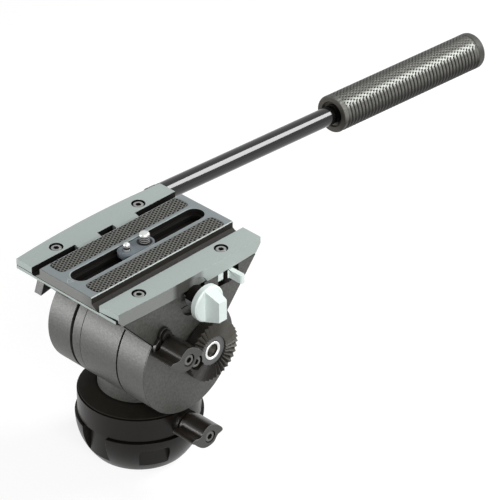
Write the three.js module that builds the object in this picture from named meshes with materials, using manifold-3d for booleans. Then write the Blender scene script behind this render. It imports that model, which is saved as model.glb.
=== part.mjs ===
// Fluid video head with a pan handle, in millimetres, +Z up.
// The origin is on the pan axis at the flat bottom of the half ball.
// +X is the side with the clamp knob and the lock levers, +Y is the side of the grip.
import * as THREE from 'three';
import { mergeVertices } from 'three/addons/utils/BufferGeometryUtils.js';
import Module from 'manifold-3d';

const wasm = await Module();
wasm.setup();

// Clearances and cuts
const seatGap = 0.3;
const runGap = 0.4;
const overrun = 2;

// Sides of a full circle
const largeSides = 40;
const middleSides = 20;
const smallSides = 12;
const curveSteps = 4;

// Half ball and its bolt
const ballRadius = 37.5;
const ballHeight = 24;
const pocketCount = 6;
const pocketDegrees = 29;
const pocketCoreRadius = 33;
const closedPocketRoof = 5;
const ballBoltHeadRadius = 9;
const ballBoltHeadHeight = 6;
const ballBoltRadius = 5;
const spannerHoleRadius = 1.2;
const spannerHoleSpread = 6;
const spannerHoleDepth = 2.5;

// Pan base ring, cover, bearing and hub
const ringRadius = 36;
const ringHeight = 14.3;
const ringShadowGap = 1.1;
const ringNeckInset = 1.8;
const ringFloor = 6;
const ringWall = 7;
const coverInset = 0.8;
const coverRim = 0.9;
const coverRise = 2.4;
const coverFlatRadius = 25;
const panBearingWidth = 12;
const panBearingHeight = 2;
const panHubHeight = 3.1;
const panHubNeckRadius = 18;
const panBossRadius = 8;
const panBossReach = 3.5;

// Centre housing and tilt drum
const drumFloorGap = 1.1;
const drumRadius = 35.2;
const pedestalRadius = 24;
const centreNearX = 18.8;
const centrePartX = -10.3;
const centreFarX = -17;
const partLine = 0.3;
const nearGap = 1.2;
const farGap = 2;
const pedestalDrumGap = 0.8;
const tiltShaftRadius = 7;
const springRoomRadius = 24;
const springRoomDepth = 18;
const springOuter = 21.5;
const springInner = 13;

// Side frames
const nearFaceX = 41.4;
const farFaceX = -37;
const drumRoomRadius = 20;
const drumEndWall = 4.4;
const tiltBearingRadius = 12;
const tiltBearingWidth = 4.4;
const nearWebInnerX = 31.6;
const farWebInnerX = -27;
const webWaistShareFront = -0.795;
const webWaistFrontRise = 20.7;
const webWaistShareBack = 0.878;
const webWaistBackRise = 16.9;

// Platform and rails
const bedFront = -54;
const bedBack = 58;
const bedNearX = 40.2;
const bedFarX = -43.3;
const bedFarBow = 2.9;
const bedRise = 49.5;
const bedThickness = 4.6;
const lipThickness = 2;
const lipSlope = 4;
const channelNearX = 26.9;
const channelFarX = -27.3;
const channelDepth = 0.5;
const railThickness = 3.9;
const nearRailInnerX = 27.1;
const nearEdgeX = 42.6;
const nearEdgeBow = 1.5;
const nearFrontInset = 1.4;
const farRailInnerX = -27.6;
const jawTipX = -21.8;
const jawShoulder = 1.1;
const jawTipDrop = 1.4;
const jawTipHeight = 0.4;
const jawFootX = -25.2;
const jawStarts = [-21.2, 8.1];
const jawLength = 17.4;
const railScrewX = 33.5;
const railScrewSpread = 32;
const railScrewHead = 3.2;
const railScrewHeadHeight = 2.4;
const railScrewRadius = 2;
const railScrewLength = 13;
const railScrewBore = 4.15;
const railScrewDrop = 0.5;
const socketRadius = 1.8;
const socketDepth = 1.6;

// Sliding plate, pads and screws
const plateFront = -54;
const plateLength = 110;
const plateHalfWidth = 21.05;
const plateFlangeHalf = 25.2;
const plateSide = 4;
const plateDovetail = 2.7;
const plateChamfer = 0.5;
const slotHalf = 6;
const slotFrontInset = 6;
const slotBackInset = 4;
const ledgeHalf = 4;
const ledgeDrop = 3.4;
const padInnerX = 9;
const padOuterX = 20;
const padFrontInset = 6;
const padBackInset = 5;
const padCorner = 3;
const padThickness = 1.4;
const padStand = 0.35;
const carriageFront = -12.5;
const carriageBack = 12.5;
const carriageDrop = 0.4;
const carriageFoot = 1.2;
const cameraScrewY = 6.7;
const cameraScrewRadius = 3.1;
const cameraScrewStand = 5.8;
const cameraScrewCollar = 4.2;
const cameraScrewCollarHeight = 1;
const videoPinY = -7.2;
const videoPinRadius = 2;
const videoPinStand = 5.2;
const videoPinTip = 1;
const pinBushRadius = 4.4;
const pinBushHeight = 0.7;

// Plate clamp knob and bar
const clampY = 3.8;
const clampDrop = 9.3;
const clampShaftRadius = 4;
const clampRecessRadius = 11.4;
const clampPocketHalf = 9.2;
const clampPocketDepth = 2.8;
const clampPocketDrop = 3.8;
const clampCollarRadius = 8;
const clampDiscX = 50;
const clampDiscRadius = 11;
const clampDiscWidth = 5;
const clampBladeLength = 10.1;
const clampBladeRootHalves = [3.9, 10.1];
const clampBladeTipHalves = [3, 6.5];
const barHalfLength = 8;
const barWidth = 3.1;
const barNearX = 30.7;
const barFootDrop = 13.6;
const barTravelRoom = 0.9;
const noseInnerX = 25.7;
const noseOuterX = 26.3;
const noseTipX = 24.7;
const noseRise = 1.1;
const noseTipRise = 0.7;
const noseRoot = 1.2;

// Release latch
const latchSlotFront = 23.7;
const latchSlotBack = 40;
const latchSlotHeight = 13.8;
const latchPinX = 39.6;
const latchPinY = 31.6;
const latchPinRadius = 1.5;
const latchPinRoot = 5;
const latchHeight = 5.3;
const latchHubRadius = 2.8;
const latchReach = 12.6;
const latchSpringOuter = 2.6;

// Rosettes
const rosetteY = 12;
const rosetteRise = 1.8;
const rosetteRadius = 18.6;
const rosetteTeeth = 36;
const rosetteToothInner = 9.4;
const rosetteToothHeight = 1.5;
const rosetteToothRise = 1.6;
const rosetteFootInset = 2.3;
const rosetteWidth = 7.1;
const insertRadius = 5.8;
const insertHole = 4.1;
const insertStand = 0.3;
const insertRoot = 2.7;
const rosetteScrewBack = 12.8;
const rosetteScrewDrop = 1.6;
const rosetteScrewHead = 3.5;
const rosetteScrewHeadHeight = 3.4;
const rosetteScrewBore = 4.6;
const rosetteScrewRadius = 2;
const rosetteScrewRoot = 3;

// Lock levers, studs, screws and brake shoes
const leverLength = 18.3;
const leverNeckLength = 2;
const leverHub = 7.8;
const leverReach = 14.2;
const leverStudRadius = 3;
const leverStudDepth = 9.6;
const leverScrewHead = 3.4;
const leverScrewHeadHeight = 3.3;
const leverScrewRadius = 2;
const leverScrewBore = 3.9;
const leverScrewDrop = 0.4;
const panLeverNeck = 7;
const tiltLeverNeck = 4.2;
const tiltLeverY = -20.2;
const tiltLeverRise = 18;
const tiltBossRadius = 8.3;
const tiltBossWidth = 2.3;
const tiltEarRise = 8.1;
const tiltEarRadius = 4.4;
const tiltEarScrewHead = 3.5;
const tiltEarScrewHeight = 1.8;
const tiltEarScrewRadius = 1.8;
const tiltEarScrewRoot = 4;
const shoePocketDepth = 6;
const panShoeWidth = 12;
const panShoeHeight = 4.8;
const panShoeThickness = 3.8;
const panShoeRoom = 0.8;
const tiltShoeRadius = 6;
const tiltShoeLength = 6.3;

// Handle
const handleSlopeDegrees = 3.3;
const handleX = -53;
const handleCrank = 37.4;
const handleHubRadius = 16;
const handleHubWidth = 13.2;
const handleArmHalfWidth = 4.5;
const handleNeckStart = 48;
const handleNeckLength = 8;
const handleSpigotLength = 24;
const rodRadius = 5.85;
const rodWall = 1.2;
const rodEndRoom = 8.2;
const gripStart = 202.6;
const gripLength = 131.8;
const gripRadius = 11.9;
const gripMouthRadius = 8;
const gripMouthDepth = 5;
const gripCapLength = 7;
const gripCapRound = 3;
const gripCapPlug = 6;
const handleBoltRadius = 4;
const handleBoltRoot = 3;
const handleKnobLength = 12.4;
const handleKnobHub = 8.5;
const handleKnobReach = 26;
const handleKnobWingWidth = 5.8;

// Outline of a lock lever in (y, z), as shares of its reach and of its hub radius
const leverOutlineShares = [
  [-1, 0.33],
  [-0.89, 0.45],
  [-0.63, 0.38],
  [-0.49, 0.42],
  [-0.4, 0.64],
  [-0.27, 0.85],
  [-0.12, 0.99],
  [0.07, 1],
  [0.3, 0.82],
  [0.52, 0.53],
  [0.68, 0.22],
  [0.71, 0],
  [0.63, -0.12],
  [0.45, -0.19],
  [0.36, -0.35],
  [0.28, -0.55],
  [0.15, -0.71],
  [-0.05, -0.78],
  [-0.25, -0.76],
  [-0.48, -0.58],
  [-0.68, -0.27],
  [-0.85, 0.05],
  [-0.99, 0.23],
];

// Outline of the latch seen from above, as shares of its reach from the pin
const latchOutlineShares = [
  [-0.13, 0.25],
  [-0.13, -0.59],
  [0.11, -0.59],
  [0.11, -0.27],
  [0.02, -0.21],
  [0.08, -0.01],
  [0.92, -0.01],
  [0.98, 0.04],
  [1, 0.16],
  [0.94, 0.25],
];

// One half of the wings of the handle's knob in (y, z), as shares of its reach.
// The other half is the same, turned half a circle.
const handleKnobWingShares = [
  [-0.3, -0.1],
  [-0.68, -0.11],
  [-1, -0.17],
  [-0.89, 0.13],
  [-0.5, 0.33],
  [-0.15, 0.36],
];

// Places that follow from the sizes
const degree = Math.PI / 180;
const ringFoot = ballHeight + seatGap;
const ringLip = ballHeight + ringShadowGap;
const ringTop = ringLip + ringHeight;
const ringRoom = ringRadius - ringWall;
const roomFloor = ringFoot + ringFloor;
const panHubRadius = ringRoom - panShoeRoom - panShoeThickness - runGap;
const panBearingTop = roomFloor + seatGap + panBearingHeight;
const panHubFoot = panBearingTop + runGap;
const panHubTop = panHubFoot + panHubHeight;
const coverUnder = panHubTop + runGap;
const coverShoulder = ringTop + seatGap;
const coverTop = coverShoulder + coverRim + coverRise;
const pedestalFoot = coverTop + runGap;
const tiltAxisHeight = coverTop + drumFloorGap + drumRadius;
const bedTopHeight = tiltAxisHeight + bedRise;
const clampHeight = bedTopHeight - clampDrop;
const barFootHeight = bedTopHeight - barFootDrop;
const rosetteHeight = tiltAxisHeight + rosetteRise;
const tiltLeverHeight = tiltAxisHeight + tiltLeverRise;
const rodEnd = gripStart + gripLength - gripCapLength - gripCapPlug - rodEndRoom;
const panLeverHeight = ringLip + ringHeight / 2;
const panBossX = ringRadius + panBossReach;
const nearInnerX = centreNearX + nearGap;
const farInnerX = centreFarX - farGap;
const nearRoomX = nearFaceX - drumEndWall - tiltBearingWidth - 2 * seatGap;
const farRoomX = farFaceX + drumEndWall + tiltBearingWidth + 2 * seatGap;
const railFoot = bedTopHeight + seatGap;
const railTop = railFoot + railThickness;
const bedUnder = bedTopHeight - bedThickness;
const bedMiddleY = (bedFront + bedBack) / 2;
const webTop = bedUnder - seatGap;
const apronFoot = webTop + seatGap;
const latchSlotFoot = bedTopHeight - latchSlotHeight;
const latchTop = webTop - seatGap;
const latchSlotX = latchPinX - latchHubRadius - runGap;
const channelFloor = bedTopHeight - channelDepth;
const plateFoot = channelFloor + seatGap;
const plateTop = plateFoot + plateDovetail + plateSide;
const ledgeTop = plateTop - ledgeDrop;
const plateBack = plateFront + plateLength;
const slotFront = plateFront + slotFrontInset;
const slotBack = plateBack - slotBackInset;
const padFront = plateFront + padFrontInset;
const padBack = plateBack - padBackInset;
const rosetteFootX = nearFaceX + seatGap;
const farRosetteFaceX = farFaceX - rosetteWidth;
const handleHubX = farRosetteFaceX - rosetteToothRise - runGap;
const handleHubEndX = handleHubX - handleHubWidth;
const handleNeckEnd = handleNeckStart + handleNeckLength;
const tiltLeverX = nearFaceX + seatGap + tiltBossWidth + runGap;
const panLeverX = panBossX + runGap;

const material = (color, roughness, metalness) =>
  new THREE.MeshStandardMaterial({ color, roughness, metalness, flatShading: true });

// Signed volume of an indexed triangle mesh
function signedVolume(points, triangles) {
  const a = new THREE.Vector3();
  const b = new THREE.Vector3();
  const c = new THREE.Vector3();
  let sum = 0;
  for (let i = 0; i < triangles.length; i += 3) {
    a.fromArray(points, triangles[i] * 3);
    b.fromArray(points, triangles[i + 1] * 3);
    c.fromArray(points, triangles[i + 2] * 3);
    sum += a.dot(b.cross(c));
  }
  return sum / 6;
}

// Closed solid of a geometry, with shared corners merged and its faces pointing out
function toSolid(geometry) {
  const bare = geometry.clone();
  bare.deleteAttribute('normal');
  bare.deleteAttribute('uv');
  const merged = mergeVertices(bare);
  const points = merged.attributes.position.array;
  const index = merged.index.array;
  const triangles = [];
  for (let i = 0; i < index.length; i += 3) {
    const [a, b, c] = [index[i], index[i + 1], index[i + 2]];
    if (a !== b && b !== c && c !== a) triangles.push(a, b, c);
  }
  if (signedVolume(points, triangles) < 0) triangles.reverse();
  const mesh = new wasm.Mesh({
    numProp: 3,
    vertProperties: new Float32Array(points),
    triVerts: new Uint32Array(triangles),
  });
  return new wasm.Manifold(mesh);
}

// Geometry of a solid
function toGeometry(solid) {
  const mesh = solid.getMesh();
  const geometry = new THREE.BufferGeometry();
  geometry.setAttribute('position', new THREE.BufferAttribute(new Float32Array(mesh.vertProperties), 3));
  geometry.setIndex(Array.from(mesh.triVerts));
  const flat = geometry.toNonIndexed();
  flat.computeVertexNormals();
  return flat;
}

const join = (first, ...others) => others.reduce((sum, other) => sum.add(other), first);
const cut = (first, ...others) => others.reduce((rest, other) => rest.subtract(other), first);

// Solid turned about an axis from a profile of [radius, place along the axis]
function turned(axis, profile, sides) {
  const points = profile.map(([radius, along]) => new THREE.Vector2(radius, along));
  const closed = profile[0][0] > 0 ? [...points, points[0].clone()] : points;
  const geometry = new THREE.LatheGeometry(closed, sides);
  if (axis === 'x') geometry.rotateZ(-Math.PI / 2);
  if (axis === 'z') geometry.rotateX(Math.PI / 2);
  return toSolid(geometry);
}

const rod = (axis, radius, from, to, sides = smallSides) =>
  turned(axis, [[0, from], [radius, from], [radius, to], [0, to]], sides);

const tube = (axis, inner, outer, from, to, sides = middleSides) =>
  turned(axis, [[inner, from], [outer, from], [outer, to], [inner, to]], sides);

// Prism along an axis. Its outline is in (y, z) along x, in (x, z) along y and in (x, y) along z.
function prism(axis, outline, from, to) {
  const points = () => outline.map(([u, v]) => new THREE.Vector2(u, v));
  const shape = outline instanceof THREE.Shape ? outline : new THREE.Shape(points());
  const options = { depth: to - from, bevelEnabled: false, curveSegments: curveSteps };
  const geometry = new THREE.ExtrudeGeometry(shape, options);
  if (axis === 'x') {
    geometry.applyMatrix4(new THREE.Matrix4().set(0, 0, 1, from, 1, 0, 0, 0, 0, 1, 0, 0, 0, 0, 0, 1));
  }
  if (axis === 'y') {
    geometry.rotateX(Math.PI / 2);
    geometry.translate(0, to, 0);
  }
  if (axis === 'z') geometry.translate(0, 0, from);
  return toSolid(geometry);
}

function box(x0, x1, y0, y1, z0, z1) {
  const geometry = new THREE.BoxGeometry(x1 - x0, y1 - y0, z1 - z0);
  geometry.translate((x0 + x1) / 2, (y0 + y1) / 2, (z0 + z1) / 2);
  return toSolid(geometry);
}

// Obround along y: two half circles joined by straight sides
function obround(half, front, back) {
  const shape = new THREE.Shape();
  shape.moveTo(half, front + half);
  shape.lineTo(half, back - half);
  shape.absarc(0, back - half, half, 0, Math.PI);
  shape.lineTo(-half, front + half);
  shape.absarc(0, front + half, half, Math.PI, 2 * Math.PI);
  return shape;
}

// Six-sided socket of a screw, along an axis
const hexSocket = (axis, from, to) => rod(axis, socketRadius, from, to, 6);

// Ring of V teeth about x between two radii, with crests at x = width and a slanted foot
function toothedRing(inner, outer, inset, count, height, width) {
  const points = [];
  const triangles = [];
  const lines = count * 2;
  for (let i = 0; i < lines; i += 1) {
    const angle = (i / lines) * 2 * Math.PI;
    const top = i % 2 ? width : width - height;
    const section = [[inner, 0], [outer - inset, 0], [outer, inset], [outer, top], [inner, top]];
    for (const [radius, x] of section) {
      points.push(x, radius * Math.cos(angle), radius * Math.sin(angle));
    }
  }
  const corners = points.length / (3 * lines);
  for (let i = 0; i < lines; i += 1) {
    const a = i * corners;
    const b = ((i + 1) % lines) * corners;
    for (let side = 0; side < corners; side += 1) {
      const next = (side + 1) % corners;
      triangles.push(a + side, b + side, b + next);
      triangles.push(a + side, b + next, a + next);
    }
  }
  const geometry = new THREE.BufferGeometry();
  geometry.setAttribute('position', new THREE.Float32BufferAttribute(points, 3));
  geometry.setIndex(triangles);
  return toSolid(geometry);
}

// Half ball with pockets round its side, every second one open at the top
function halfBall() {
  const profile = [[0, 0]];
  const start = Math.asin(-ballHeight / ballRadius);
  const steps = curveSteps * 2;
  for (let i = 0; i <= steps; i += 1) {
    const angle = start * (1 - i / steps);
    profile.push([ballRadius * Math.cos(angle), ballHeight + ballRadius * Math.sin(angle)]);
  }
  profile.push([0, ballHeight]);
  const pockets = [];
  for (let i = 0; i < pocketCount; i += 1) {
    const open = i % 2 === 0;
    const middle = -90 + (i * 360) / pocketCount;
    const shape = new THREE.Shape();
    const [first, last] = [middle - pocketDegrees / 2, middle + pocketDegrees / 2];
    shape.absarc(0, 0, ballRadius + overrun, first * degree, last * degree);
    shape.absarc(0, 0, pocketCoreRadius, last * degree, first * degree, true);
    const top = open ? ballHeight + overrun : ballHeight - closedPocketRoof;
    pockets.push(prism('z', shape, -overrun, top));
  }
  const bore = rod('z', ballBoltRadius + seatGap, -overrun, ballHeight + overrun);
  const seat = rod('z', ballBoltHeadRadius + seatGap, -overrun, ballBoltHeadHeight + seatGap, middleSides);
  return cut(turned('z', profile, largeSides), bore, seat, ...pockets);
}

function ballBolt() {
  const head = rod('z', ballBoltHeadRadius, 0, ballBoltHeadHeight, middleSides);
  const shank = rod('z', ballBoltRadius, 0, roomFloor);
  const hole = rod('z', spannerHoleRadius, -overrun, spannerHoleDepth);
  const holes = [-1, 1].map((side) => hole.translate([side * spannerHoleSpread, 0, 0]));
  return cut(join(head, shank), ...holes);
}

function panBaseRing() {
  const neckRadius = ringRadius - ringNeckInset;
  const bore = ballBoltRadius + seatGap;
  const body = turned('z', [
    [bore, ringFoot],
    [neckRadius, ringFoot],
    [neckRadius, ringLip],
    [ringRadius, ringLip],
    [ringRadius, ringTop],
    [ringRoom, ringTop],
    [ringRoom, roomFloor],
    [bore, roomFloor],
  ], largeSides);
  const boss = rod('x', panBossRadius, ringRoom + ringWall / 2, panBossX, middleSides)
    .translate([0, 0, panLeverHeight]);
  const coverSpace = rod('z', ringRadius, ringTop, coverTop, largeSides);
  const studBore = rod('x', leverStudRadius + seatGap, ringRoom - overrun, panBossX + overrun);
  return cut(join(body, cut(boss, coverSpace)), studBore.translate([0, 0, panLeverHeight]));
}

function panTopCover() {
  const inner = panHubNeckRadius + runGap;
  const outer = ringRadius - coverInset;
  return turned('z', [
    [inner, coverUnder],
    [ringRoom - seatGap, coverUnder],
    [ringRoom - seatGap, coverShoulder],
    [outer, coverShoulder],
    [outer, coverShoulder + coverRim],
    [coverFlatRadius, coverTop],
    [inner, coverTop],
  ], largeSides);
}

const panBearing = () => {
  const foot = roomFloor + seatGap;
  return tube('z', panHubRadius - panBearingWidth, panHubRadius, foot, panBearingTop);
};

function panHub() {
  const flange = rod('z', panHubRadius, panHubFoot, panHubTop, largeSides);
  return join(flange, rod('z', panHubNeckRadius, panHubFoot, pedestalFoot - seatGap, largeSides));
}

function panBrakeShoe() {
  const foot = roomFloor + seatGap;
  const inner = panHubRadius + runGap;
  const ring = tube('z', inner, inner + panShoeThickness, foot, foot + panShoeHeight, largeSides);
  const half = panShoeWidth / 2;
  return ring.intersect(box(0, ringRadius, -half, half, foot, foot + panShoeHeight));
}

// Pedestal and the middle of the drum in one casting
function centreHousing() {
  const drum = rod('x', drumRadius, centrePartX, centreNearX, largeSides).translate([0, 0, tiltAxisHeight]);
  const column = rod('z', pedestalRadius, pedestalFoot, tiltAxisHeight, largeSides);
  const clear = drumRadius + pedestalDrumGap;
  const near = rod('x', clear, centreNearX, ballRadius, largeSides).translate([0, 0, tiltAxisHeight]);
  const far = rod('x', clear, -ballRadius, centrePartX - partLine, largeSides)
    .translate([0, 0, tiltAxisHeight]);
  const shaft = rod('x', tiltShaftRadius + seatGap, centreFarX, centreNearX + overrun);
  const roomEnd = centrePartX + springRoomDepth;
  const room = rod('x', springRoomRadius, centrePartX - overrun, roomEnd, middleSides);
  const body = join(drum, cut(column, near, far));
  return cut(body, shaft.translate([0, 0, tiltAxisHeight]), room.translate([0, 0, tiltAxisHeight]));
}

const drumRing = () =>
  tube('x', tiltShaftRadius + seatGap, drumRadius, centreFarX, centrePartX - partLine, largeSides);

const tiltShaft = () => {
  const inset = drumEndWall + seatGap;
  return rod('x', tiltShaftRadius, farFaceX + inset, nearFaceX - inset, middleSides);
};

const counterbalanceSpring = () =>
  tube('x', springInner, springOuter, centrePartX + seatGap, centrePartX + springRoomDepth - seatGap);

const nearTiltBearing = () => {
  const end = nearFaceX - drumEndWall - seatGap;
  return tube('x', tiltShaftRadius + seatGap, tiltBearingRadius, end - tiltBearingWidth, end);
};

const farTiltBearing = () => {
  const end = farFaceX + drumEndWall + seatGap;
  return tube('x', tiltShaftRadius + seatGap, tiltBearingRadius, end, end + tiltBearingWidth);
};

const nearDragCartridge = () =>
  tube('x', tiltShaftRadius + runGap, drumRoomRadius - seatGap, nearInnerX + seatGap, nearRoomX - seatGap);

const farDragCartridge = () =>
  tube('x', tiltShaftRadius + runGap, drumRoomRadius - seatGap, farRoomX + seatGap, farInnerX - seatGap);

// V-shaped outline of a web from the drum up to a height, in (y, z)
function webOutline(top) {
  const frontWaist = [webWaistShareFront * drumRadius, tiltAxisHeight + webWaistFrontRise];
  const backWaist = [webWaistShareBack * drumRadius, tiltAxisHeight + webWaistBackRise];
  const share = (waist) => (top - waist[1]) / (bedTopHeight - waist[1]);
  const front = frontWaist[0] + share(frontWaist) * (bedFront - frontWaist[0]);
  const back = backWaist[0] + share(backWaist) * (bedBack - backWaist[0]);
  return [[front, top], [back, top], backWaist, [0, tiltAxisHeight], frontWaist];
}

// Points along a bowed edge of the bed from front to back, as (x, y)
function bowedEdge(middleX, bow) {
  const half = (bedBack - bedFront) / 2;
  const steps = curveSteps * 2;
  const edge = [];
  for (let i = 0; i <= steps; i += 1) {
    const share = (2 * i) / steps - 1;
    edge.push([middleX + bow * share ** 2, bedMiddleY + share * half]);
  }
  return edge;
}

// Space outside the bowed near edge, with the slanted front corner of the near rail
function outsideNearEdge(from, to) {
  const outer = nearEdgeX + 2 * overrun;
  const [first, ...rest] = bowedEdge(nearEdgeX, -nearEdgeBow);
  return prism('z', [
    [nearRailInnerX, bedFront - overrun],
    [outer, bedFront - overrun],
    [outer, bedBack + overrun],
    [nearEdgeX - nearEdgeBow, bedBack + overrun],
    ...rest.reverse(),
    [first[0], first[1] + nearFrontInset],
    [nearRailInnerX, bedFront],
  ], from, to);
}

// Space outside the bowed far edge of the bed
function outsideFarEdge(from, to) {
  const outer = bedFarX - 2 * overrun;
  return prism('z', [
    ...bowedEdge(bedFarX, bedFarBow),
    [bedFarX + bedFarBow, bedBack + overrun],
    [outer, bedBack + overrun],
    [outer, bedFront - overrun],
    [bedFarX + bedFarBow, bedFront - overrun],
  ], from, to);
}

// Shallow round recess in the apron of the near rail, round the clamp knob
const clampRecess = () =>
  rod('x', clampRecessRadius, nearFaceX, clampDiscX, largeSides)
    .translate([0, clampY, clampHeight]);

// Pocket behind the clamp knob: round at its foot and open at its top
function clampPocket() {
  const middle = clampHeight - clampPocketDrop;
  const from = nearFaceX - clampPocketDepth;
  const to = nearFaceX + overrun;
  return join(
    rod('x', clampPocketHalf, from, to, largeSides).translate([0, clampY, middle]),
    box(from, to, clampY - clampPocketHalf, clampY + clampPocketHalf, middle, webTop + overrun),
  );
}

function railScrewPlaces() {
  const places = [];
  for (const x of [-railScrewX, railScrewX]) {
    for (const y of [-railScrewSpread, railScrewSpread]) places.push([x, bedMiddleY + y]);
  }
  return places;
}

// Holes of the four rail screws through bed and webs
function railScrewHoles(radius, from, to) {
  const hole = rod('z', radius, from, to);
  return railScrewPlaces().map(([x, y]) => hole.translate([x, y, 0]));
}

const railScrewTop = railTop - railScrewDrop;
const railScrewFoot = railScrewTop - railScrewHeadHeight - railScrewLength;

function nearSideFrame() {
  const drum = rod('x', drumRadius, nearInnerX, nearFaceX, largeSides).translate([0, 0, tiltAxisHeight]);
  const web = prism('x', webOutline(webTop), nearWebInnerX, nearFaceX);
  const bearingX = nearFaceX - drumEndWall;
  return cut(
    join(drum, web),
    rod('x', drumRoomRadius, nearInnerX - overrun, nearRoomX, middleSides)
      .translate([0, 0, tiltAxisHeight]),
    rod('x', tiltBearingRadius + seatGap, nearInnerX, bearingX, middleSides)
      .translate([0, 0, tiltAxisHeight]),
    rod('x', tiltShoeRadius + runGap, nearInnerX - overrun, nearInnerX + shoePocketDepth)
      .translate([0, tiltLeverY, tiltLeverHeight]),
    rod('x', leverStudRadius + seatGap, nearInnerX, nearFaceX + overrun)
      .translate([0, tiltLeverY, tiltLeverHeight]),
    earedPlate(seatGap, leverLength).translate([nearFaceX, tiltLeverY, tiltLeverHeight]),
    rod('x', tiltEarScrewRadius + seatGap, nearFaceX - tiltEarScrewRoot - seatGap, nearFaceX + overrun)
      .translate([0, tiltLeverY, tiltLeverHeight + tiltEarRise]),
    rod('x', insertRadius + seatGap, nearFaceX - insertRoot - seatGap, nearFaceX + overrun, middleSides)
      .translate([0, rosetteY, rosetteHeight]),
    rod('x', rosetteScrewRadius + seatGap, nearFaceX - rosetteScrewRoot - seatGap, nearFaceX + overrun)
      .translate([0, rosetteY - rosetteScrewBack, rosetteHeight - rosetteScrewDrop]),
    rod('x', clampShaftRadius + runGap, nearWebInnerX - overrun, nearFaceX + overrun)
      .translate([0, clampY, clampHeight]),
    clampPocket(),
    box(latchSlotX, nearFaceX + overrun, latchSlotFront, latchSlotBack, latchSlotFoot, webTop + overrun),
    rod('z', latchPinRadius + seatGap, latchSlotFoot - latchPinRoot - seatGap, latchSlotFoot + overrun)
      .translate([latchPinX, latchPinY, 0]),
    ...railScrewHoles(railScrewRadius + seatGap, railScrewFoot - seatGap, bedTopHeight + overrun),
  );
}

function farSideFrame() {
  const drum = rod('x', drumRadius, farFaceX, farInnerX, largeSides).translate([0, 0, tiltAxisHeight]);
  const web = prism('x', webOutline(webTop), farFaceX, farWebInnerX);
  return cut(
    join(drum, web),
    rod('x', drumRoomRadius, farRoomX, farInnerX + overrun, middleSides).translate([0, 0, tiltAxisHeight]),
    rod('x', tiltBearingRadius + seatGap, farFaceX + drumEndWall, farInnerX, middleSides)
      .translate([0, 0, tiltAxisHeight]),
    ...railScrewHoles(railScrewRadius + seatGap, railScrewFoot - seatGap, bedTopHeight + overrun),
  );
}

function platform() {
  const lipUnder = bedTopHeight - lipThickness;
  const section = [
    [bedFront, lipUnder],
    [bedFront + lipSlope, bedUnder],
    [bedBack - lipSlope, bedUnder],
    [bedBack, lipUnder],
    [bedBack, bedTopHeight],
    [bedFront, bedTopHeight],
  ];
  const slab = prism('x', section, bedFarX - overrun, bedNearX);
  return cut(
    slab,
    outsideFarEdge(bedUnder - overrun, railFoot),
    box(channelFarX, channelNearX, bedFront - overrun, bedBack + overrun, channelFloor, railTop),
    barPocket(),
    ...railScrewHoles(railScrewRadius + seatGap, railScrewFoot, railTop),
  );
}

// Room in the bed for the clamp bar and its travel
function barPocket() {
  const half = barHalfLength + runGap;
  const from = noseTipX - runGap;
  return box(from, barNearX + barTravelRoom, clampY - half, clampY + half, bedUnder - overrun, railFoot);
}

// Side of the near rail that hangs over the bed's edge, in (y, z), trimmed like the web below it
function apronOutline() {
  const [front, back] = webOutline(apronFoot);
  return [
    front,
    back,
    [bedBack, bedTopHeight],
    [bedBack, railTop],
    [bedFront, railTop],
    [bedFront, bedTopHeight],
  ];
}

function nearRail() {
  const bar = box(nearRailInnerX, nearEdgeX + overrun, bedFront, bedBack, railFoot, railTop);
  const apron = prism('x', apronOutline(), bedNearX + seatGap, nearEdgeX + overrun);
  return cut(
    join(bar, apron),
    outsideNearEdge(apronFoot - overrun, railTop + overrun),
    clampRecess(),
    ...railScrewHoles(railScrewRadius + seatGap, railFoot - overrun, railTop),
    ...railScrewHoles(railScrewBore, railScrewTop - railScrewHeadHeight - seatGap, railTop + overrun),
  );
}

// One jaw of the far rail, its under side along the plate's dovetail
function jaw(front) {
  const section = [
    [farRailInnerX - overrun, railFoot],
    [jawFootX, railFoot],
    [jawTipX, railTop - jawTipDrop - jawTipHeight],
    [jawTipX, railTop - jawTipDrop],
    [farRailInnerX + jawShoulder, railTop],
    [farRailInnerX - overrun, railTop],
  ];
  return prism('y', section, front, front + jawLength);
}

function farRail() {
  const bar = box(bedFarX - overrun, farRailInnerX, bedFront, bedBack, railFoot, railTop);
  return cut(
    join(bar, ...jawStarts.map(jaw)),
    outsideFarEdge(railFoot - overrun, railTop + overrun),
    ...railScrewHoles(railScrewRadius + seatGap, railFoot - overrun, railTop),
    ...railScrewHoles(railScrewBore, railScrewTop - railScrewHeadHeight - seatGap, railTop + overrun),
  );
}

// Socket screw along z or x with its head's outer face at 0 and its shank pointing to minus
function socketScrew(axis, headRadius, headHeight, radius, length) {
  const head = rod(axis, headRadius, -headHeight, 0);
  const shank = rod(axis, radius, -headHeight - length, -headHeight / 2);
  return cut(join(head, shank), hexSocket(axis, -socketDepth, overrun));
}

// The four rail screws, each a piece of its own
function railScrews() {
  const screw = socketScrew('z', railScrewHead, railScrewHeadHeight, railScrewRadius, railScrewLength);
  return railScrewPlaces().map(([x, y]) => {
    const name = `${x > 0 ? 'near' : 'far'}_${y > 0 ? 'back' : 'front'}_rail_screw`;
    return place(x, y, railScrewTop, piece(name, screw, steel));
  });
}

// Rosette with its foot at x = 0 and its axis on x, its teeth standing over its hub
function rosette() {
  const width = rosetteWidth - seatGap;
  const hub = rod('x', rosetteToothInner, 0, width, middleSides);
  const inner = rosetteToothInner - seatGap;
  const crest = width + rosetteToothRise;
  return join(hub, toothedRing(
    inner, rosetteRadius, rosetteFootInset, rosetteTeeth, rosetteToothHeight, crest,
  ));
}

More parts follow.
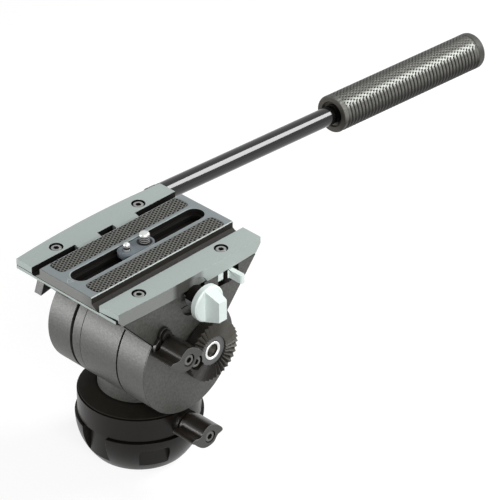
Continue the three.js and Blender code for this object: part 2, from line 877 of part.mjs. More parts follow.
function nearRosette() {
  const deep = rosetteWidth + rosetteToothRise + overrun;
  const y = -rosetteScrewBack;
  const z = -rosetteScrewDrop;
  const headRoom = rosetteWidth - seatGap - rosetteScrewHeadHeight - seatGap;
  return cut(
    rosette(),
    rod('x', insertRadius + seatGap, -overrun, deep, middleSides),
    rod('x', rosetteScrewRadius + seatGap, -overrun, deep).translate([0, y, z]),
    rod('x', rosetteScrewBore, headRoom, deep, middleSides).translate([0, y, z]),
  );
}

const farRosette = () =>
  cut(rosette(), rod('x', handleBoltRadius + runGap, -overrun, rosetteWidth + overrun));

const rosetteInsert = () =>
  tube('x', insertHole, insertRadius, -insertRoot, rosetteWidth + insertStand);

const rosetteScrew = () => {
  const length = rosetteWidth + rosetteScrewRoot - rosetteScrewHeadHeight - seatGap;
  return socketScrew('x', rosetteScrewHead, rosetteScrewHeadHeight, rosetteScrewRadius, length);
};

// Round plate with an ear above it, grown by a gap, with its back at x = 0
function earedPlate(gap, width) {
  const plate = rod('x', tiltBossRadius + gap, 0, width, middleSides);
  const ear = rod('x', tiltEarRadius + gap, 0, width).translate([0, 0, tiltEarRise]);
  const half = tiltEarRadius + gap;
  return join(plate, ear, box(0, width, -half, half, 0, tiltEarRise));
}

// Boss of the tilt lever, with a hole in its ear for its screw
function tiltLeverBoss() {
  const screwHole = rod('x', tiltEarScrewRadius + seatGap, -overrun, tiltBossWidth + overrun);
  return cut(
    earedPlate(0, tiltBossWidth),
    rod('x', leverStudRadius + seatGap, -overrun, tiltBossWidth + overrun),
    screwHole.translate([0, 0, tiltEarRise]),
  );
}

function tiltBossScrew() {
  const seat = tiltBossWidth + seatGap;
  const head = rod('x', tiltEarScrewHead, seat, seat + tiltEarScrewHeight);
  return join(head, rod('x', tiltEarScrewRadius, -tiltEarScrewRoot, tiltBossWidth + seatGap * 2));
}

const leverOutline = () => leverOutlineShares.map(([u, v]) => [u * leverReach, v * leverHub]);

// Lock lever with its root at x = 0 and its stud's axis on x
function lockLever(neckRadius) {
  const neck = rod('x', neckRadius, 0, leverNeckLength + seatGap, middleSides);
  const wings = prism('x', leverOutline(), leverNeckLength, leverLength);
  const headRoom = leverLength - leverScrewDrop - leverScrewHeadHeight - seatGap;
  return cut(
    join(neck, wings),
    rod('x', leverStudRadius + seatGap, -overrun, leverStudDepth + seatGap),
    rod('x', leverScrewRadius + seatGap, leverStudDepth, leverLength),
    rod('x', leverScrewBore, headRoom, leverLength + overrun),
  );
}

const lockStud = (depth) => rod('x', leverStudRadius, -depth, leverStudDepth);

const leverScrew = () => {
  const length = leverLength - leverScrewDrop - leverScrewHeadHeight - leverStudDepth - seatGap;
  return socketScrew('x', leverScrewHead, leverScrewHeadHeight, leverScrewRadius, length);
};

const tiltBrakeShoe = () => {
  const from = centreNearX + runGap;
  return rod('x', tiltShoeRadius, from, from + tiltShoeLength, middleSides);
};

// Section of the sliding plate: upright sides over dovetail flanges
function plateSection() {
  const waist = plateFoot + plateDovetail;
  const half = [
    [plateFlangeHalf, plateFoot],
    [plateHalfWidth, waist],
    [plateHalfWidth, plateTop - plateChamfer],
    [plateHalfWidth - plateChamfer, plateTop],
  ];
  return [...half, ...half.map(([x, z]) => [-x, z]).reverse()];
}

// Outline of a pad seen from above, with round corners, grown by a gap
function padOutline(side, gap) {
  const [x0, x1] = [padInnerX - gap, padOuterX + gap];
  const [y0, y1] = [padFront - gap, padBack + gap];
  const r = padCorner + gap;
  const shape = new THREE.Shape();
  shape.absarc(x1 - r, y1 - r, r, 0, Math.PI / 2);
  shape.absarc(x0 + r, y1 - r, r, Math.PI / 2, Math.PI);
  shape.absarc(x0 + r, y0 + r, r, Math.PI, Math.PI * 1.5);
  shape.absarc(x1 - r, y0 + r, r, Math.PI * 1.5, Math.PI * 2);
  const points = shape.getPoints(curveSteps).map((p) => [side * p.x, p.y]);
  return side > 0 ? points : points.reverse();
}

function pad(side) {
  const top = plateTop + padStand;
  return prism('z', padOutline(side, 0), top - padThickness, top);
}

function slidingPlate() {
  const pocketFloor = plateTop + padStand - padThickness - seatGap;
  const inset = slotHalf - ledgeHalf;
  return cut(
    prism('y', plateSection(), plateFront, plateBack),
    prism('z', obround(slotHalf, slotFront, slotBack), ledgeTop, plateTop + overrun),
    prism('z', obround(ledgeHalf, slotFront + inset, slotBack - inset),
      plateFoot - overrun, plateTop + overrun),
    ...[-1, 1].map((side) => prism('z', padOutline(side, seatGap), pocketFloor, plateTop + overrun)),
  );
}

function screwCarriage() {
  const top = plateTop - carriageDrop;
  const collarFloor = top - cameraScrewCollarHeight - seatGap;
  const inset = slotHalf - ledgeHalf;
  const upper = obround(slotHalf - runGap, carriageFront, carriageBack);
  const lower = obround(ledgeHalf - runGap, carriageFront + inset, carriageBack - inset);
  const bush = rod('z', pinBushRadius, ledgeTop + runGap, top + pinBushHeight, middleSides);
  return cut(
    join(
      prism('z', upper, ledgeTop + runGap, top),
      prism('z', lower, plateFoot + carriageFoot, top - seatGap),
      bush.translate([0, videoPinY, 0]),
    ),
    rod('z', cameraScrewRadius + runGap, plateFoot, top + overrun).translate([0, cameraScrewY, 0]),
    rod('z', cameraScrewCollar + runGap, collarFloor, top + overrun, middleSides)
      .translate([0, cameraScrewY, 0]),
    rod('z', videoPinRadius + runGap, plateFoot, top + overrun).translate([0, videoPinY, 0]),
  );
}

function cameraScrew() {
  const collarTop = plateTop - carriageDrop;
  const body = rod('z', cameraScrewRadius, plateFoot + carriageFoot, plateTop + cameraScrewStand);
  const collarFoot = collarTop - cameraScrewCollarHeight;
  return join(body, rod('z', cameraScrewCollar, collarFoot, collarTop, middleSides));
}

function videoPin() {
  const foot = plateFoot + carriageFoot + videoPinTip;
  const tip = plateTop + videoPinStand;
  return turned('z', [
    [0, foot],
    [videoPinRadius, foot],
    [videoPinRadius, tip - videoPinTip],
    [videoPinRadius - videoPinTip, tip],
    [0, tip],
  ], smallSides);
}

function clampKnob() {
  const discEnd = clampDiscX + clampDiscWidth;
  const shaft = rod('x', clampShaftRadius, nearWebInnerX, clampDiscX + seatGap);
  const collar = rod('x', clampCollarRadius, nearFaceX + runGap, clampDiscX + seatGap, middleSides);
  const disc = rod('x', clampDiscRadius, clampDiscX, discEnd, middleSides);
  const bladeEnd = discEnd + clampBladeLength;
  const slice = (end, [y, z]) => box(end - seatGap, end, -y, y, -z, z);
  const ends = join(slice(discEnd, clampBladeRootHalves), slice(bladeEnd, clampBladeTipHalves));
  return join(shaft, collar, disc, ends.hull());
}

// Clamp bar: a lug that the knob's shaft presses, with a nose over the plate's flange
function clampBar() {
  const top = railFoot - 2 * seatGap;
  const section = [
    [barNearX - barWidth, barFootHeight],
    [barNearX, barFootHeight],
    [barNearX, top],
    [noseOuterX, top],
    [noseOuterX, top + noseRise],
    [noseTipX, top + noseTipRise],
    [noseInnerX, top],
    [noseInnerX, top - noseRoot],
    [barNearX - barWidth, top - noseRoot],
  ];
  return prism('y', section, clampY - barHalfLength, clampY + barHalfLength);
}

// Latch seen from above: a hub on its pin and a paddle that stands out of the slot
function releaseLatch() {
  const foot = latchTop - latchHeight;
  const outline = latchOutlineShares.map(([u, v]) => [u * latchReach, v * latchReach]);
  const paddle = prism('z', outline, foot, latchTop);
  const hub = rod('z', latchHubRadius, foot, latchTop);
  return cut(join(paddle, hub), rod('z', latchPinRadius + runGap, foot - overrun, latchTop + overrun));
}

const latchPin = () =>
  rod('z', latchPinRadius, latchSlotFoot - latchPinRoot, latchTop);

const latchSpring = () => {
  const foot = latchSlotFoot + seatGap;
  const top = latchTop - latchHeight - runGap;
  return tube('z', latchPinRadius + seatGap, latchSpringOuter, foot, top, smallSides);
};

// Cranked arm from the hub to a neck as thick as the rod, in the frame of the rod.
// A spigot on the neck fills the start of the hollow rod.
function handleArm() {
  const hub = rod('x', handleHubRadius, handleHubEndX, handleHubX, middleSides);
  const low = handleCrank - rodRadius;
  const high = handleCrank + rodRadius * Math.SQRT1_2;
  const hubShare = handleHubRadius * Math.SQRT1_2;
  const plate = prism('x', [
    [-hubShare, hubShare],
    [hubShare, -hubShare],
    [handleNeckEnd - seatGap, low],
    [handleNeckEnd - seatGap, high],
    [handleNeckStart, high],
  ], handleX - handleArmHalfWidth, handleX + handleArmHalfWidth);
  const neck = rod('y', rodRadius, handleNeckStart, handleNeckEnd, middleSides);
  const spigotEnd = handleNeckEnd + handleSpigotLength;
  const spigot = rod('y', rodRadius - rodWall - seatGap, handleNeckStart, spigotEnd);
  return cut(
    join(hub, plate, join(neck, spigot).translate([handleX, 0, handleCrank])),
    rod('x', handleBoltRadius + runGap, handleHubEndX - overrun, handleHubX + overrun),
  );
}

const handleRod = () =>
  tube('y', rodRadius - rodWall, rodRadius, handleNeckEnd + seatGap, rodEnd);

function gripSleeve() {
  const bore = rodRadius + seatGap;
  const end = gripStart + gripLength - gripCapLength;
  return turned('y', [
    [bore, gripStart + gripMouthDepth],
    [gripMouthRadius, gripStart + gripMouthDepth],
    [gripMouthRadius, gripStart],
    [gripRadius, gripStart],
    [gripRadius, end],
    [bore, end],
  ], middleSides);
}

function gripEndCap() {
  const end = gripStart + gripLength;
  const start = end - gripCapLength + seatGap;
  return turned('y', [
    [0, start - gripCapPlug],
    [rodRadius, start - gripCapPlug],
    [rodRadius, start],
    [gripRadius, start],
    [gripRadius, end - gripCapRound],
    [gripRadius - gripCapRound / 3, end - gripCapRound / 3],
    [gripRadius - gripCapRound, end],
    [0, end],
  ], middleSides);
}

const handleClampBolt = () =>
  rod('x', handleBoltRadius, handleHubEndX - handleKnobLength / 2, farFaceX - seatGap - handleBoltRoot / 3);

// Knob of the handle with two wings along y
function handleClampKnob() {
  const near = handleHubEndX - runGap;
  const far = near - handleKnobLength;
  const middle = near - handleKnobLength / 2;
  const hub = rod('x', handleKnobHub, far, near, middleSides);
  const half = handleKnobWingShares.map(([u, v]) => [u * handleKnobReach, v * handleKnobReach]);
  const wings = prism('x', [...half, ...half.map(([y, z]) => [-y, -z])], far, far + handleKnobWingWidth);
  const bore = rod('x', handleBoltRadius + seatGap, middle - seatGap, near + overrun);
  return cut(join(hub, wings), bore);
}

const blackPaint = material('#262624', 0.45, 0.3);
const darkPaint = material('#62625f', 0.6, 0.3);
const greyMetal = material('#aab4b2', 0.4, 0.6);
const plateMetal = material('#8a949c', 0.4, 0.6);
const darkMetal = material('#3a3835', 0.5, 0.5);
const steel = material('#c8c8c6', 0.25, 1);
const bronze = material('#8c6a3c', 0.4, 0.9);
const rubber = material('#4c4c4a', 0.9, 0);
const whitePlastic = material('#dfe6e2', 0.35, 0);

function piece(name, solid, look) {
  const mesh = new THREE.Mesh(toGeometry(solid), look.clone());
  mesh.name = name;
  return mesh;
}

function place(x, y, z, ...children) {
  const group = new THREE.Group();
  group.position.set(x, y, z);
  group.add(...children);
  return group;
}

const lever = (name, neck, depth, look) => [
  piece(`${name}_lock_lever`, lockLever(neck), look),
  piece(`${name}_lock_stud`, lockStud(depth), steel),
];

function endScrew(name) {
  const screw = piece(`${name}_lever_screw`, leverScrew(), steel);
  screw.position.x = leverLength - leverScrewDrop;
  return screw;
}

function baseGroup() {
  const shoeBack = panHubRadius + runGap + panShoeThickness;
  return place(0, 0, 0,
    piece('half_ball', halfBall(), blackPaint),
    piece('ball_bolt', ballBolt(), steel),
    piece('pan_base_ring', panBaseRing(), blackPaint),
    piece('pan_top_cover', panTopCover(), blackPaint),
    piece('pan_bearing', panBearing(), bronze),
    piece('pan_brake_shoe', panBrakeShoe(), bronze),
    place(panLeverX, 0, panLeverHeight,
      ...lever('pan', panLeverNeck, panLeverX - shoeBack - runGap, blackPaint),
      endScrew('pan')));
}

function panGroup() {
  return place(0, 0, 0,
    piece('pan_hub', panHub(), steel),
    piece('centre_housing', centreHousing(), darkPaint),
    place(0, 0, tiltAxisHeight,
      piece('drum_ring', drumRing(), darkPaint),
      piece('tilt_shaft', tiltShaft(), steel),
      piece('counterbalance_spring', counterbalanceSpring(), steel)));
}

function drumParts() {
  return place(0, 0, tiltAxisHeight,
    piece('near_tilt_bearing', nearTiltBearing(), bronze),
    piece('far_tilt_bearing', farTiltBearing(), bronze),
    piece('near_drag_cartridge', nearDragCartridge(), darkMetal),
    piece('far_drag_cartridge', farDragCartridge(), darkMetal));
}

function rosetteParts() {
  const screw = piece('rosette_screw', rosetteScrew(), steel);
  screw.position.set(rosetteWidth - 2 * seatGap, -rosetteScrewBack, -rosetteScrewDrop);
  const far = piece('far_rosette', farRosette(), blackPaint);
  far.rotation.z = Math.PI;
  return [
    place(rosetteFootX, rosetteY, rosetteHeight,
      piece('near_rosette', nearRosette(), blackPaint),
      screw),
    place(nearFaceX, rosetteY, rosetteHeight, piece('rosette_insert', rosetteInsert(), steel)),
    place(farFaceX - seatGap, rosetteY, rosetteHeight, far),
  ];
}

function tiltLeverParts() {
  const stud = tiltLeverX - centreNearX - 2 * runGap - tiltShoeLength;
  const bossX = nearFaceX + seatGap;
  return [
    place(0, tiltLeverY, tiltLeverHeight, piece('tilt_brake_shoe', tiltBrakeShoe(), bronze)),
    place(bossX, tiltLeverY, tiltLeverHeight, piece('tilt_lever_boss', tiltLeverBoss(), blackPaint)),
    place(bossX, tiltLeverY, tiltLeverHeight + tiltEarRise,
      piece('tilt_boss_screw', tiltBossScrew(), blackPaint)),
    place(tiltLeverX, tiltLeverY, tiltLeverHeight,
      ...lever('tilt', tiltLeverNeck, stud, blackPaint), endScrew('tilt')),
  ];
}

function plateParts() {
  return place(0, 0, 0,
    piece('sliding_plate', slidingPlate(), plateMetal),
    piece('near_pad', pad(1), rubber),
    piece('far_pad', pad(-1), rubber),
    piece('screw_carriage', screwCarriage(), plateMetal),
    place(0, cameraScrewY, 0, piece('camera_screw', cameraScrew(), steel)),
    place(0, videoPinY, 0, piece('video_pin', videoPin(), steel)));
}

function tiltGroup() {
  return place(0, 0, 0,
    piece('platform', platform(), darkMetal),
    piece('near_side_frame', nearSideFrame(), darkPaint),
    piece('far_side_frame', farSideFrame(), darkPaint),
    piece('near_rail', nearRail(), greyMetal),
    piece('far_rail', farRail(), greyMetal),
    ...railScrews(),
    drumParts(),
    ...rosetteParts(),
    ...tiltLeverParts(),
    plateParts(),
    place(0, clampY, clampHeight, piece('clamp_knob', clampKnob(), whitePlastic)),
    piece('clamp_bar', clampBar(), darkMetal),
    place(latchPinX, latchPinY, 0,
      piece('release_latch', releaseLatch(), whitePlastic),
      piece('latch_pin', latchPin(), steel),
      piece('latch_spring', latchSpring(), steel)));
}

function handleGroup() {
  const along = place(handleX, 0, handleCrank,
    piece('handle_rod', handleRod(), blackPaint),
    piece('grip_sleeve', gripSleeve(), rubber),
    piece('grip_end_cap', gripEndCap(), rubber));
  const sloped = place(0, 0, 0, piece('handle_arm', handleArm(), blackPaint), along);
  sloped.rotation.x = -handleSlopeDegrees * degree;
  return place(0, rosetteY, rosetteHeight,
    sloped,
    piece('handle_clamp_knob', handleClampKnob(), blackPaint),
    piece('handle_clamp_bolt', handleClampBolt(), steel));
}

const head = new THREE.Group();
head.add(baseGroup(), panGroup(), tiltGroup(), handleGroup());

export default head;
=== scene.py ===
"""Looks of a fluid video head with a pan handle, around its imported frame.

Sizes are in millimetres in the frame of the part: +X is the side of the clamp knob,
+Y is the side of the grip, +Z is up, and the half ball stands on z = 0.
"""

import math

import bpy
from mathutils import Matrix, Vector


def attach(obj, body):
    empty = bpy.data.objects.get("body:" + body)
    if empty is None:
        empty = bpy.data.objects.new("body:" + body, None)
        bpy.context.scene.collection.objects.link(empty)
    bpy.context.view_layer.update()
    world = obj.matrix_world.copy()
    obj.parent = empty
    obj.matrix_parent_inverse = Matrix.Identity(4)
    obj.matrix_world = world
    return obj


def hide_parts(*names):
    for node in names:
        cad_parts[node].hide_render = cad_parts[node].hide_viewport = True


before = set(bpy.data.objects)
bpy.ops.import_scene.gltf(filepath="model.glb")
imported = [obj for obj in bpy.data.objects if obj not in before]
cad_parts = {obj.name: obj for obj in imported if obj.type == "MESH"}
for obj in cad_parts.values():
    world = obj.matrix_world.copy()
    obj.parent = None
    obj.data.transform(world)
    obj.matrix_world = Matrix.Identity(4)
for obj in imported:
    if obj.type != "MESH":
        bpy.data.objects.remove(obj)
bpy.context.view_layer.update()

MM = 0.001
SEAT_GAP = 0.3
SHARP_ANGLE = math.radians(36)
AXES = {"x": (1, 0, 0), "y": (0, 1, 0), "z": (0, 0, 1)}

# Sides of round shapes
DRUM_ROUND = 128
ROUND = 96
SMALL_ROUND = 48
FINE_ROUND = 24

# Half ball, base ring and cover
BALL_RADIUS = 37.5
BALL_HEIGHT = 24
RING_RADIUS = 36
RING_FOOT = 24.3
RING_LIP = 25.1
RING_TOP = 39.4
RING_ROOM = 29
RING_FLOOR = 30.3
COVER_TOP = 43
POCKETS = 6
POCKET_HALF_ANGLE = 14.5
POCKET_ROOF = 19
BOLT_ROOM = 5.3
STUD_BORE = 3.3
PAN_LEVER_HEIGHT = 32.25
PAN_LEVER_X = 39.9

# Drum, frames and pedestal
TILT_HEIGHT = 79.3
DRUM_RADIUS = 35.2
PEDESTAL_RADIUS = 24
SHAFT_ROOM = 7.3
BEARING_ROOM = 12.3
DRAG_ROOM = 20
SPRING_ROOM = 24
PARTING_X = -10.6
CENTRE_NEAR_X = 18.8
CENTRE_FAR_X = -10.3
RING_FAR_X = -17
NEAR_INNER_X = 20
NEAR_FACE_X = 41.4
FAR_INNER_X = -19
FAR_FACE_X = -37
WEB_TOP = 123.9

# Platform, rails and plate
BED_FRONT = -54
BED_BACK = 58
BED_FAR_X = -43.3
NEAR_EDGE_X = 42.6
APRON_X = 40.5
APRON_FOOT = 124.2
BED_TOP = 128.8
BED_UNDER = 124.2
NEAR_RAIL_X = 27.1
FAR_RAIL_X = -27.6
RAIL_FOOT = 129.1
RAIL_TOP = 133
RAIL_SCREW_X = 33.5
RAIL_SCREW_Y = (-30, 34)
PLATE_FOOT = 128.6
PLATE_TOP = 135.3
PAD_SEAT = 133.95
CLAMP_Y = 3.8
CLAMP_HEIGHT = 119.5
BLADE_END = 65.1
LATCH_X = 39.6
LATCH_Y = 31.6
DIMPLE_PITCH = 2.2
DIMPLE_RADIUS = 0.86
CAMERA_SCREW_Y = 6.7
VIDEO_PIN_Y = -7.2
CARRIAGE_FOOT = 129.8
CARRIAGE_TOP = 134.9

# Tilt lever, rosettes and handle
TILT_LEVER_X = 44.4
TILT_LEVER_Y = -20.2
TILT_LEVER_HEIGHT = 97.3
EAR_HEIGHT = 8.1
ROSETTE_Y = 12
ROSETTE_HEIGHT = 81.1
ROSETTE_RADIUS = 18.6
TEETH = 36
TOOTH_HEIGHT = 1.5
HUB_RADIUS = 9.3
INSERT_ROOM = 6.1
HANDLE_SLOPE = math.radians(-3.3)
HANDLE_X = -53
HANDLE_CRANK = 37.4
ROD_RADIUS = 5.85
GRIP_START = 202.6
GRIP_END = 334.4
GRIP_RADIUS = 11.9
KNURL_START = GRIP_START + 4
KNURL_END = GRIP_END - 8
KNURL_RINGS = 320
GROOVE_PITCH = 3.0
GROOVE_DEPTH = 0.7
SLANT_START = math.radians(42)
SLANT_SPAN = math.radians(96)
SLANT_LEAD = -24 / SLANT_SPAN
DASHES = 28

# Places past the object, where cutters end
OVERRUN = 2
UNDER = 120
ABOVE = 140
BESIDE = 50
BEFORE = BED_FRONT - 5
BEHIND = BED_BACK + 5

# Points on the axes of the parts that turn
PAN_LEVER_AT = (0, 0, PAN_LEVER_HEIGHT)
DRUM_AT = (0, 0, TILT_HEIGHT)
TILT_LEVER_AT = (0, TILT_LEVER_Y, TILT_LEVER_HEIGHT)
CLAMP_AT = (0, CLAMP_Y, CLAMP_HEIGHT)
ROSETTE_AT = (0, ROSETTE_Y, ROSETTE_HEIGHT)
ROD_AT = (HANDLE_X, 0, HANDLE_CRANK)
CAMERA_SCREW_AT = (0, CAMERA_SCREW_Y, 0)
VIDEO_PIN_AT = (0, VIDEO_PIN_Y, 0)

# Studio
PHOTO_PIXELS = 500
SENSOR_WIDTH = 36
FLOOR_GLOW = 0.84
SURROUND_GLOW = 0.14


# Modelling


def mode(name):
    bpy.ops.object.mode_set(mode=name)


def select_none():
    """Leaves edit mode and selects nothing."""
    if bpy.context.object and bpy.context.object.mode != "OBJECT":
        mode("OBJECT")
    bpy.ops.object.select_all(action="DESELECT")


def only(piece):
    """Selects this piece alone and makes it the active one."""
    select_none()
    piece.select_set(True)
    bpy.context.view_layer.objects.active = piece


def named(piece, name):
    """Gives a piece and its mesh one name."""
    piece.name = name
    piece.data.name = name
    return piece


def chain(name, points):
    """A line of edges through the points, left in edit mode with all of it selected."""
    select_none()
    bpy.ops.mesh.primitive_plane_add(size=MM, location=(0, 0, 0))
    piece = named(bpy.context.object, name)
    mode("EDIT")
    bpy.ops.mesh.select_mode(type="VERT")
    bpy.ops.mesh.merge(type="CENTER")
    last = Vector(points[0])
    bpy.ops.transform.translate(value=last * MM)
    for point in points[1:]:
        step = (Vector(point) - last) * MM
        bpy.ops.mesh.extrude_region_move(TRANSFORM_OT_translate={"value": step})
        last = Vector(point)
    bpy.ops.mesh.select_all(action="SELECT")
    return piece


def pick(piece, chosen):
    """Leaves a piece in edit mode with the vertices selected that the test picks by place (mm)."""
    only(piece)
    mode("EDIT")
    bpy.ops.mesh.select_mode(type="VERT")
    bpy.ops.mesh.select_all(action="DESELECT")
    mode("OBJECT")
    for spot in piece.data.vertices:
        spot.select = chosen(spot.co / MM)
    mode("EDIT")


def close_up(piece):
    """Merges the doubles of a piece in edit mode, turns its faces outwards and leaves edit mode."""
    bpy.ops.mesh.select_all(action="SELECT")
    bpy.ops.mesh.remove_doubles(threshold=0.005 * MM)
    bpy.ops.mesh.normals_make_consistent(inside=False)
    mode("OBJECT")
    return piece


def placed(axis, along, u, v, at):
    """A point from its place along an axis and its two other coordinates, moved by at."""
    return Vector({"x": (along, u, v), "y": (u, along, v), "z": (u, v, along)}[axis]) + Vector(at)


def turned(name, axis, profile, at=(0, 0, 0), sides=ROUND):
    """A profile of (radius, place along the axis) spun round an axis through a point."""
    piece = chain(name, [placed(axis, along, radius, 0, at) for radius, along in profile])
    centre = Vector(at) * MM
    bpy.ops.mesh.spin(steps=sides, angle=2 * math.pi, center=centre, axis=AXES[axis])
    return close_up(piece)


def rod(name, axis, radius, start, end, at=(0, 0, 0), sides=SMALL_ROUND):
    """A plain round rod, as a start for a piece or as a cutter."""
    return turned(name, axis, [(0, start), (radius, start), (radius, end), (0, end)], at, sides)


def slab(name, axis, outline, start, end, at=(0, 0, 0)):
    """An outline in the two other axes, filled and pulled out along an axis."""
    piece = chain(name, [placed(axis, start, u, v, at) for u, v in outline])
    bpy.ops.mesh.edge_face_add()
    pull = Vector(AXES[axis]) * (end - start) * MM
    bpy.ops.mesh.extrude_region_move(TRANSFORM_OT_translate={"value": pull})
    return close_up(piece)


def block(name, low, high):
    """A box between two corners, as a cutter."""
    outline = [(low[0], low[1]), (high[0], low[1]), (high[0], high[1]), (low[0], high[1])]
    return slab(name, "z", outline, low[2], high[2])


def modify(piece, kind, **values):
    """Gives a piece a modifier with these values and applies it."""
    only(piece)
    modifier = piece.modifiers.new("change", kind)
    for key, value in values.items():
        setattr(modifier, key, value)
    bpy.ops.object.modifier_apply(modifier=modifier.name)


def combine(piece, others, operation):
    """Joins others to a piece or cuts them out of it, and removes them."""
    for other in others:
        modify(piece, "BOOLEAN", operation=operation, solver="EXACT", object=other)
        bpy.data.objects.remove(other)
    return piece


def join(piece, *others):
    return combine(piece, others, "UNION")


def cut(piece, *others):
    return combine(piece, others, "DIFFERENCE")


def clean(piece):
    """Merges doubles and dissolves the edges inside flat faces."""
    only(piece)
    mode("EDIT")
    bpy.ops.mesh.select_all(action="SELECT")
    bpy.ops.mesh.remove_doubles(threshold=0.01 * MM)
    bpy.ops.mesh.dissolve_limited(angle_limit=math.radians(0.4))
    bpy.ops.mesh.normals_make_consistent(inside=False)
    mode("OBJECT")


def soften(piece, width, segments=2, angle=28):
    """Rounds the sharp edges of a piece and shades it with flat faces kept flat."""
    clean(piece)
    if width:
        modify(
            piece, "BEVEL", width=width * MM, segments=segments, limit_method="ANGLE",
            angle_limit=math.radians(angle), use_clamp_overlap=True,
        )
    bpy.ops.object.shade_smooth_by_angle(angle=SHARP_ANGLE)
    modify(piece, "WEIGHTED_NORMAL", keep_sharp=True)
    return piece


def moved(piece, by, turn=0):
    """Turns a piece about the X axis, moves it, and puts that in its mesh."""
    only(piece)
    piece.rotation_euler[0] = turn
    piece.location = Vector(by) * MM
    bpy.ops.object.transform_apply(location=True, rotation=True, scale=True)
    return piece


def copied(piece, name):
    """A copy of a piece with a mesh of its own."""
    twin = piece.copy()
    twin.data = piece.data.copy()
    bpy.context.scene.collection.objects.link(twin)
    return named(twin, name)


def arc(centre, radius, first, last, steps):
    """Points of an arc in a plane, from one angle to another, in degrees."""
    points = []
    for i in range(steps + 1):
        angle = math.radians(first + (last - first) * i / steps)
        points.append((centre[0] + radius * math.cos(angle), centre[1] + radius * math.sin(angle)))
    return points


def obround(half, front, back):
    """Outline of a slot along y with round ends."""
    return arc((0, back - half), half, 0, 180, 24) + arc((0, front + half), half, 180, 360, 24)


def rounded_box(x0, x1, y0, y1, radius, steps=6):
    """Outline of a rectangle with round corners."""
    left, right, low, high = x0 + radius, x1 - radius, y0 + radius, y1 - radius
    outline = []
    for i, corner in enumerate(((right, high), (left, high), (left, low), (right, low))):
        outline += arc(corner, radius, 90 * i, 90 * i + 90, steps)
    return outline


def dress(piece, body, slot, finish, *nodes):
    """Gives a piece its material if it has none and its body, and hides the solids that it stands
    for.
    """
    if not piece.data.materials:
        piece.data.materials.append(finish.material)
    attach(piece, body)
    if nodes:
        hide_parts(*nodes)
    return piece


def paint_faces(piece, finish, chosen):
    """Gives another material to the faces that the test picks by middle (mm) and normal."""
    piece.data.materials.append(finish.material)
    index = len(piece.data.materials) - 1
    for face in piece.data.polygons:
        if chosen(face.center / MM, face.normal):
            face.material_index = index


# Materials


class Finish:
    """A node material built step by step on Object coordinates."""

    def __init__(self, name, colour, roughness, metallic=0.0, specular=0.5):
        self.material = bpy.data.materials.new(name)
        self.material.use_nodes = True
        self.tree = self.material.node_tree
        self.shader = self.tree.nodes["Principled BSDF"]
        self.colour = (*colour, 1)
        values = {"Roughness": roughness, "Metallic": metallic, "Specular IOR Level": specular}
        for key, value in {"Base Color": self.colour, **values}.items():
            self.shader.inputs[key].default_value = value
        self.place = self.node("ShaderNodeTexCoord").outputs["Object"]

    def node(self, kind, **values):
        node = self.tree.nodes.new(kind)
        for key, value in values.items():
            if hasattr(node, key):
                setattr(node, key, value)
            else:
                node.inputs[key].default_value = value
        return node

    def link(self, source, target):
        self.tree.links.new(source, target)

    def noise(self, size, detail=3, stretch=(1, 1, 1)):
        """Noise with grains of this size in millimetres, longer along stretched axes."""
        mapping = self.node("ShaderNodeMapping")
        mapping.inputs["Scale"].default_value = [1 / s for s in stretch]
        self.link(self.place, mapping.inputs["Vector"])
        noise = self.node("ShaderNodeTexNoise", Scale=1 / (size * MM), Detail=detail)
        self.link(mapping.outputs["Vector"], noise.inputs["Vector"])
        return noise.outputs["Fac"]

    def spread(self, value, low, high, dark, light):
        """Colour between two tones as a value goes from low to high."""
        ramp = self.node("ShaderNodeValToRGB")
        ends = ((low, dark), (high, light))
        for element, (position, share) in zip(ramp.color_ramp.elements, ends):
            element.position = position
            element.color = (*[c * share for c in self.colour[:3]], 1)
        self.link(value, ramp.inputs["Fac"])
        return ramp.outputs["Color"]

    def cover(self, colour):
        """Takes the base colour from a socket."""
        self.link(colour, self.shader.inputs["Base Color"])

    def rough(self, value, low, high):
        """Roughness between two values."""
        span = self.node("ShaderNodeMapRange")
        span.inputs["To Min"].default_value = low
        span.inputs["To Max"].default_value = high
        self.link(value, span.inputs["Value"])
        self.link(span.outputs["Result"], self.shader.inputs["Roughness"])

    def raise_by(self, value, height):
        """Bump of this height in millimetres."""
        bump = self.node("ShaderNodeBump", Strength=1, Distance=height * MM)
        self.link(value, bump.inputs["Height"])
        self.link(bump.outputs["Normal"], self.shader.inputs["Normal"])

    def parts(self):
        """The three coordinates, in millimetres."""
        split = self.node("ShaderNodeSeparateXYZ")
        self.link(self.place, split.inputs[0])
        return [self.times(split.outputs[i], 1 / MM) for i in range(3)]

    def band(self, value, low, high, soft):
        """One between two values, nought outside them, with soft edges."""
        rise = self.maths("DIVIDE", self.minus(value, low), soft)
        fall = self.maths("DIVIDE", self.minus(high, value), soft)
        inside = self.maths("MINIMUM", rise, fall)
        return self.maths("MAXIMUM", 0, self.maths("MINIMUM", 1, inside))

    def mix(self, share, first, second):
        """Colour between two colours or sockets."""
        mixer = self.node("ShaderNodeMix", data_type="RGBA")
        self.link(share, mixer.inputs[0])
        for place, value in ((6, first), (7, second)):
            if isinstance(value, tuple):
                mixer.inputs[place].default_value = (*value, 1)
            else:
                self.link(value, mixer.inputs[place])
        return mixer.outputs[2]

    def maths(self, operation, first, second=None, third=None):
        node = self.node("ShaderNodeMath", operation=operation)
        for place, value in enumerate((first, second, third)):
            if value is None:
                continue
            if isinstance(value, (int, float)):
                node.inputs[place].default_value = value
            else:
                self.link(value, node.inputs[place])
        return node.outputs[0]

    def plus(self, first, second):
        return self.maths("ADD", first, second)

    def minus(self, first, second):
        return self.maths("SUBTRACT", first, second)

    def times(self, first, second):
        return self.maths("MULTIPLY", first, second)

    def wave(self, phase):
        """Sine of a phase, lifted to run from nought to one."""
        return self.maths("MULTIPLY_ADD", self.maths("SINE", phase), 0.5, 0.5)


